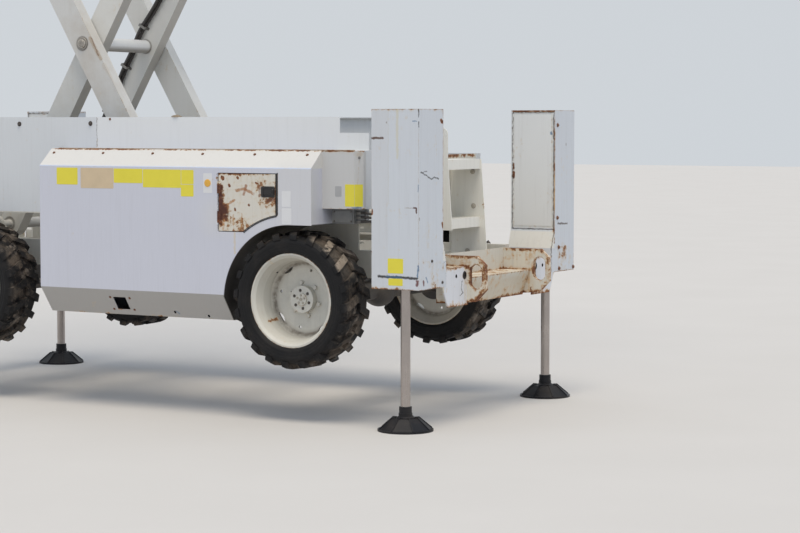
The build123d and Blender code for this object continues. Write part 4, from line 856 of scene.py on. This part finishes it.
# The hatch's black seal on the cover: round the wheel arch, then straight up
bm = bmesh.new()
start, end = atan2(0.473, -0.362), atan2(0.59, -0.098)
angles = [start + (end - start) * k / 12 for k in range(13)]
inner, outer = ([Vector((AXLE_X + r * cos(t), 0, ARCH_Z + r * sin(t))) for t in angles]
                for r in (0.5965, 0.589))
inner += [Vector((1.3215, 0, 1.42)), Vector((1.3215, 0, 1.684))]
outer += [Vector((1.336, 0, 1.408)), Vector((1.336, 0, 1.69))]
for (a, b), (c, d) in zip(zip(inner, inner[1:]), zip(outer, outer[1:])):
    corners = [[bm.verts.new(p + Y * y) for p in (a, b, d, c)]
               for y in (-COVER_Y, -COVER_Y - 0.0022)]
    bm.faces.new(corners[0])
    bm.faces.new(corners[1][::-1])
    for k in range(4):
        bm.faces.new([corners[0][k], corners[0][(k + 1) % 4],
                      corners[1][(k + 1) % 4], corners[1][k]])
bmesh.ops.remove_doubles(bm, verts=bm.verts, dist=0.0002)
piece("hatch_seal", bm, "black_plastic")

# The hatch's latch: base, handle, hinge and lock
bm = bmesh.new()
for x, step, size, thick, inset in ((1.258, 0, (0.11, 0.074, 0.01), 0.006, 0.002),
                                    (1.268, 0.006, (0.078, 0.04, 0.008), 0.007, 0.003),
                                    (1.218, 0.006, (0.02, 0.06, 0.005), 0.004, 0.002)):
    slab(bm, (x, -COVER_Y - step, 1.56), X, Z, rounded(*size), thick, inset)
lock = [(0, -0.001), (0.009, -0.001), (0.009, 0.003), (0.004, 0.004), (0, 0.002)]
lathe(bm, (1.29, -COVER_Y - 0.013, 1.56), -Y, lock, 14)
piece("hatch_latch", bm, "black_plastic", "hatch")

# The ground controls behind the hatch
PANEL_Y = -0.852
plate("ground_panel", (1.08, -0.814, 1.535), X, Z, (0.36, 0.24, 0.02), 0.04, 0.008,
      "control_grey")
toggle = [(0, 0), (0.013, 0), (0.013, 0.006), (0.009, 0.008), (0.004, 0.03), (0.005, 0.034),
          (0, 0.036)]
bm = bmesh.new()
for k in range(4):
    lathe(bm, (0.97 + 0.07 * k, PANEL_Y, 1.5), -Y, toggle, 14)
piece("ground_toggles", bm, "bright_bolt")
stop = [(0, 0), (0.014, 0), (0.014, 0.012), (0.026, 0.016), (0.026, 0.024), (0.018, 0.03),
        (0, 0.032)]
turned("ground_stop", (1.02, PANEL_Y, 1.59), -Y, stop, 24,
       "red_plastic")

# Hoses and fittings at the valve box
VALVE_ROWS = (1.425, 1.395, 1.365)
union = [(0, 0), (0.013, 0), (0.013, 0.01), (0.01, 0.012), (0.01, 0.03), (0.007, 0.032),
         (0, 0.032)]
bm = bmesh.new()
for z in VALVE_ROWS:
    lathe(bm, (1.829, -0.925, z), X, union, 6)
piece("valve_fittings", bm, "bright_bolt")
lines = [[(1.855, -0.925, z), (1.9, -0.925, z), (1.955, -0.915, z - 0.015 + 0.012 * k),
          (2.01, -0.9, z - 0.03), (2.05, -0.895, z - 0.022), (2.092, -0.895, z - 0.02)]
         for k, z in enumerate(VALVE_ROWS)]
hose("valve_hoses", lines, 0.0085, "chassis")
lid_x, lid_z = 1.745, 1.399
plate("valve_lid", (lid_x, -0.97, lid_z), X, Z, (0.15, 0.08, 0.008), 0.004, 0.0015,
      "valve_grey")
corners = [(lid_x + sx * 0.066, -0.974, lid_z + sz * 0.032) for sx in (1, -1) for sz in (1, -1)]
bolts("valve_screws", corners, -Y, 0.005, "dark_bolt")


def hub_ring(sx, y, radius, count, turn):
    """Places round a wheel's axis, the first one turned by so many degrees."""
    angles = [radians(360 / count * k + turn) for k in range(count)]
    return [(sx * AXLE_X + radius * cos(t), y, AXLE_Z + radius * sin(t)) for t in angles]


# Hub bolts and a valve on each wheel
hub_cap = [(0, -0.001), (0.012, -0.001), (0.012, 0.004), (0.006, 0.007), (0, 0.007)]
stem = [(0, -0.012), (0.007, -0.012), (0.007, 0.012), (0.004, 0.014), (0.004, 0.034),
        (0.0055, 0.036), (0.0055, 0.048), (0, 0.05)]
WHEELS = {"ladder_far": (1, 1), "ladder_near": (1, -1), "steer_far": (-1, 1),
          "steer_near": (-1, -1)}
for wheel, (sx, sy) in WHEELS.items():
    out = Vector((0, sy, 0))
    bm = bmesh.new()
    for at in hub_ring(sx, sy * 0.988, 0.028, 5, 18):
        hex_bolt(bm, at, out, 0.0065)
    lathe(bm, (sx * AXLE_X, sy * 0.988, AXLE_Z), out, hub_cap, 6)
    piece("hub_bolts_" + wheel, bm, "cream_bolt", "wheel_" + wheel)
    bolts("hub_plugs_" + wheel, hub_ring(sx, sy * 0.978, 0.062, 6, 40), out, 0.008,
          "dark_bolt", "wheel_" + wheel)
    turned("tyre_valve_" + wheel, (sx * AXLE_X - 0.205, sy * 0.94, AXLE_Z + 0.185),
           out * 0.94 + Vector((0.25, 0, -0.2)), stem, 10,
           "black_plastic", "wheel_" + wheel)

# The hose bundle along the far inner arms, and its clamps. Places are (along the arm, beside
# its axis); the ends dip into the arm at ARM_HOLE_Y, and between them hoses lie at HOSE_Y.
ALONG = Vector((cos(ARM_ANGLE), 0, sin(ARM_ANGLE)))
BESIDE = Vector((-sin(ARM_ANGLE), 0, cos(ARM_ANGLE)))
ARM_HOLE_Y = 0.29
ARM_FACE_Y = 0.2898
HOSE_Y = 0.262
LOW_ROUTE = [(-1.3, 0), (-1.27, 0), (-1.05, 0.035), (-0.6, 0.055), (-0.33, 0.07),
             (-0.2, 0.08), (-0.11, 0.074), (-0.03, 0.082), (0.05, 0.088), (0.14, 0.085),
             (0.26, 0.064), (0.4, 0.052), (0.7, 0.05), (1.05, 0.03), (1.22, 0), (1.25, 0)]
LOW_CLAMPS = [(-1.05, 0.033), (-0.62, 0.054), (-0.22, 0.078), (0.13, 0.083), (0.72, 0.048),
              (1.05, 0.03)]
FULL_ROUTE = [(-1.3, 0), (-1.27, 0), (-1, 0.02), (1, 0.02), (1.08, 0), (1.11, 0)]
FULL_CLAMPS = [(-1, 0.018), (-0.35, 0.02), (0.35, 0.02), (0.95, 0.018)]
TOP_ROUTE = [(-1.3, 0), (-1.27, 0), (-1, 0.02), (-0.5, 0.02), (-0.28, 0), (-0.25, 0)]
TOP_CLAMPS = [(-1, 0.018), (-0.5, 0.016)]
STAGES = [(LOW_ROUTE, LOW_CLAMPS), (FULL_ROUTE, FULL_CLAMPS), (FULL_ROUTE, FULL_CLAMPS),
          (TOP_ROUTE, TOP_CLAMPS)]
grommet = [(0, 0), (0.042, 0), (0.042, 0.004), (0.036, 0.008), (0.03, 0.008), (0, 0.004)]
for stage, (route, clamps) in enumerate(STAGES, 1):
    base = MID + Z * STAGE_UP * (stage - 1)
    last = len(route) - 1
    lines = []
    for dp, dy in ((-0.016, 0.006), (0, -0.008), (0.016, 0.006)):
        lines.append([base + ALONG * a + BESIDE * (p + dp)
                      + Y * (HOSE_Y + dy if 0 < k < last else ARM_HOLE_Y)
                      for k, (a, p) in enumerate(route)])
    hose(f"arm_hoses_{stage}", lines, 0.0105, f"inner_{stage}")
    bm = bmesh.new()
    for a, p in clamps:
        at = base + ALONG * a + BESIDE * p + Y * ARM_FACE_Y
        slab(bm, at, ALONG, BESIDE, rounded(0.022, 0.09, 0.006), 0.0018)
        for side in (-1, 1):
            leg = at + BESIDE * side * 0.03
            slab(bm, leg, ALONG, BESIDE, rounded(0.02, 0.003, 0.001), 0.0465)
            hex_bolt(bm, at + BESIDE * side * 0.038 - Y * 0.002, -Y, 0.006)
        slab(bm, at - Y * 0.0465, ALONG, BESIDE, rounded(0.02, 0.063, 0.004), 0.003, 0.001)
    piece(f"hose_clamps_{stage}", bm, "bright_bolt", f"inner_{stage}")
    bm = bmesh.new()
    for a in (route[0][0], route[-1][0]):
        lathe(bm, base + ALONG * a + Y * ARM_FACE_Y, -Y, grommet, 24)
    piece(f"hose_grommets_{stage}", bm, "black_plastic", f"inner_{stage}")

# Washers and caps on the outer arms' pivot pins
PIN_END_Y = 0.5138
washer = [(0.034, -0.001), (0.047, -0.001), (0.047, 0.005), (0.045, 0.007), (0.036, 0.007),
          (0.034, 0.005), (0.034, -0.001)]
cap = [(0, 0), (0.027, 0), (0.027, 0.002), (0.024, 0.005), (0.008, 0.006), (0.006, 0.004),
       (0, 0.004)]
for stage in range(1, 5):
    lift = Z * STAGE_UP * (stage - 1)
    places = [MID + lift, PIVOT + lift + Z * STAGE_UP]
    if stage > 1:
        places.append(Vector((FOOT_X, 0, PIVOT.z)) + lift)
    bm = bmesh.new()
    for at in places:
        for side in (-1, 1):
            out = Y * side
            lathe(bm, at + out * ARM_Y, out, washer, 32)
            lathe(bm, at + out * PIN_END_Y, out, cap, 32)
    piece(f"pin_caps_{stage}", bm, "cap_steel", f"outer_{stage}")

# Fittings and a hard line on each lift cylinder. Its eyes sit CYLINDER_EAR beside the arms'
# axes, at these shares of the arms' length.
CYLINDER_FOOT = 0.92
CYLINDER_HEAD = 0.55
CYLINDER_EAR = 0.075
fitting = [(0, 0), (0.018, 0), (0.018, 0.012), (0.012, 0.014), (0.012, 0.028), (0, 0.028)]
LINE_ROUTE = ((0.97, 0.095), (0.97, 0.115), (0.93, 0.118), (0.85, 0.086), (0.7, 0.084),
              (0.3, 0.084), (0.22, 0.112), (0.16, 0.118), (0.15, 0.115), (0.15, 0.095))
for k in (1, 2):
    foot = (PIVOT + Z * STAGE_UP * (k - 1) + ALONG * (CYLINDER_FOOT * ARM_LENGTH)
            - BESIDE * CYLINDER_EAR)
    back = (CYLINDER_FOOT - CYLINDER_HEAD) * ARM_LENGTH
    ears = 2 * CYLINDER_EAR
    reach = Vector((-back * cos(ARM_ANGLE) - ears * sin(ARM_ANGLE), 0,
                    (ARM_LENGTH - back) * sin(ARM_ANGLE) + ears * cos(ARM_ANGLE)))
    reach.normalize()
    bm = bmesh.new()
    for a in (0.15, 0.97):
        lathe(bm, foot + reach * a - Y * 0.073, -Y, fitting, 6)
    piece(f"barrel_fittings_{k}", bm, "bright_bolt", f"barrel_{k}")
    line = [foot + reach * a - Y * b for a, b in LINE_ROUTE]
    hose(f"barrel_line_{k}", [line], 0.006, f"barrel_{k}", "dark_bolt")

# The platform's control box: joystick and levers, buttons, and its lead down the middle post
box_low, box_high = (Vector(c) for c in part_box("control_box"))
slope_up = Vector((-0.07, 0, 0.09)).normalized()
face_out = Vector((0.09, 0, 0.07)).normalized()
mid_face = Vector((box_high.x - 0.035, -0.27, RAIL_TOP - 0.045))
joystick = [(0, -0.002), (0.032, -0.002), (0.03, 0.006), (0.024, 0.009), (0.026, 0.013),
            (0.018, 0.016), (0.019, 0.02), (0.009, 0.023), (0.007, 0.03), (0.014, 0.034),
            (0.016, 0.05), (0.011, 0.057), (0, 0.059)]
lever = [(0, -0.001), (0.009, -0.001), (0.009, 0.004), (0.004, 0.006), (0.003, 0.022),
         (0.0045, 0.026), (0, 0.028)]
stop = [(0, -0.001), (0.013, -0.001), (0.013, 0.01), (0.024, 0.014), (0.024, 0.021),
        (0.017, 0.027), (0, 0.029)]
button = [(0, -0.001), (0.01, -0.001), (0.01, 0.006), (0.008, 0.009), (0, 0.01)]
bm = bmesh.new()
lathe(bm, mid_face + Y * 0.09, face_out, joystick, 20)
for y in (-0.02, 0.01, 0.04):
    lathe(bm, mid_face + Y * y, face_out, lever, 12)
piece("platform_levers", bm, "black_plastic", "extension")
turned("platform_stop", mid_face - Y * 0.1, face_out, stop, 24,
       "red_plastic", "extension")
plate("platform_stop_plate", mid_face - Y * 0.1, slope_up.cross(face_out) * -1, slope_up,
      (0.066, 0.066, 0.01), 0.0015, 0, "yellow_sticker", "extension")
turned("platform_start", mid_face - Y * 0.05, face_out, button, 16,
       "green_plastic", "extension")
lead_x = box_low.x + 0.045
POST_FACE_X = -1.937
lead = [(lead_x, -0.12, box_low.z + 0.01), (lead_x, -0.12, box_low.z - 0.03),
        (lead_x, -0.05, box_low.z - 0.07), (POST_FACE_X, -0.008, box_low.z - 0.1),
        (POST_FACE_X, 0, box_low.z - 0.2), (POST_FACE_X, 0, DECK_TOP + 0.45),
        (POST_FACE_X, 0, DECK_TOP + 0.16), (POST_FACE_X, 0, DECK_TOP + 0.02)]
hose("control_lead", [lead], 0.008, "extension")
bm = bmesh.new()
for up in (0.25, 0.48, 0.68):
    slab(bm, (-1.9475, 0, DECK_TOP + up), Y, Z, rounded(0.03, 0.012, 0.003), 0.0225, 0.002)
piece("lead_clips", bm, "black_plastic", "extension")

knob = [(0, 0), (0.012, 0), (0.012, 0.004), (0.006, 0.008), (0.006, 0.026), (0.013, 0.032),
        (0.013, 0.044), (0, 0.048)]
turned("gate_latch_knob", (1.945, 0.27, RAIL_TOP - 0.06), -X, knob, 16,
       "black_plastic", "gate")

camera_data = bpy.data.cameras.new("camera")
camera_data.lens = CAMERA_LENS
camera_data.sensor_width = 36
camera_data.clip_end = 200
camera = add("camera", camera_data)
camera.location = CAMERA_AT
camera.rotation_euler = (radians(90 - CAMERA_DOWN), 0, radians(CAMERA_YAW))
scene.camera = camera

bpy.ops.mesh.primitive_plane_add(size=160, location=(0, 0, 0))
floor = bpy.context.object
floor.name = "floor"
g = Graph("floor")
g.done(g.mix(g.noise(0.8, 3, 0.5), (0.6, 0.58, 0.55), (0.64, 0.62, 0.59)), 0.85)
floor.data.materials.append(MATERIALS["floor"])

# A blue-white sky that lights the machine, and a paler one behind it and in its gloss
world = bpy.data.worlds.new("world")
scene.world = world
world.use_nodes = True
sky = world.node_tree
link = sky.links.new
light = sky.nodes["Background"]
light.inputs["Color"].default_value = (0.76, 0.85, 1, 1)
light.inputs["Strength"].default_value = 0.74
path = sky.nodes.new("ShaderNodeLightPath")
seen = path.outputs["Is Camera Ray"]
for ray in ("Is Glossy Ray", "Is Transmission Ray"):
    total = sky.nodes.new("ShaderNodeMath")
    total.operation = "MAXIMUM"
    link(seen, total.inputs[0])
    link(path.outputs[ray], total.inputs[1])
    seen = total.outputs[0]
pale = sky.nodes.new("ShaderNodeBackground")
pale.inputs["Color"].default_value = (0.62, 0.655, 0.69, 1)
both = sky.nodes.new("ShaderNodeMixShader")
link(seen, both.inputs["Fac"])
link(light.outputs[0], both.inputs[1])
link(pale.outputs[0], both.inputs[2])
link(both.outputs[0], sky.nodes["World Output"].inputs["Surface"])

lamp_data = bpy.data.lights.new("key", "SUN")
lamp_data.energy = 1.9
lamp_data.angle = radians(30)
lamp_data.color = (1, 0.9, 0.76)
lamp = add("key", lamp_data)
lamp.rotation_euler = (radians(20), 0, radians(37))

scene.view_settings.view_transform = "Standard"
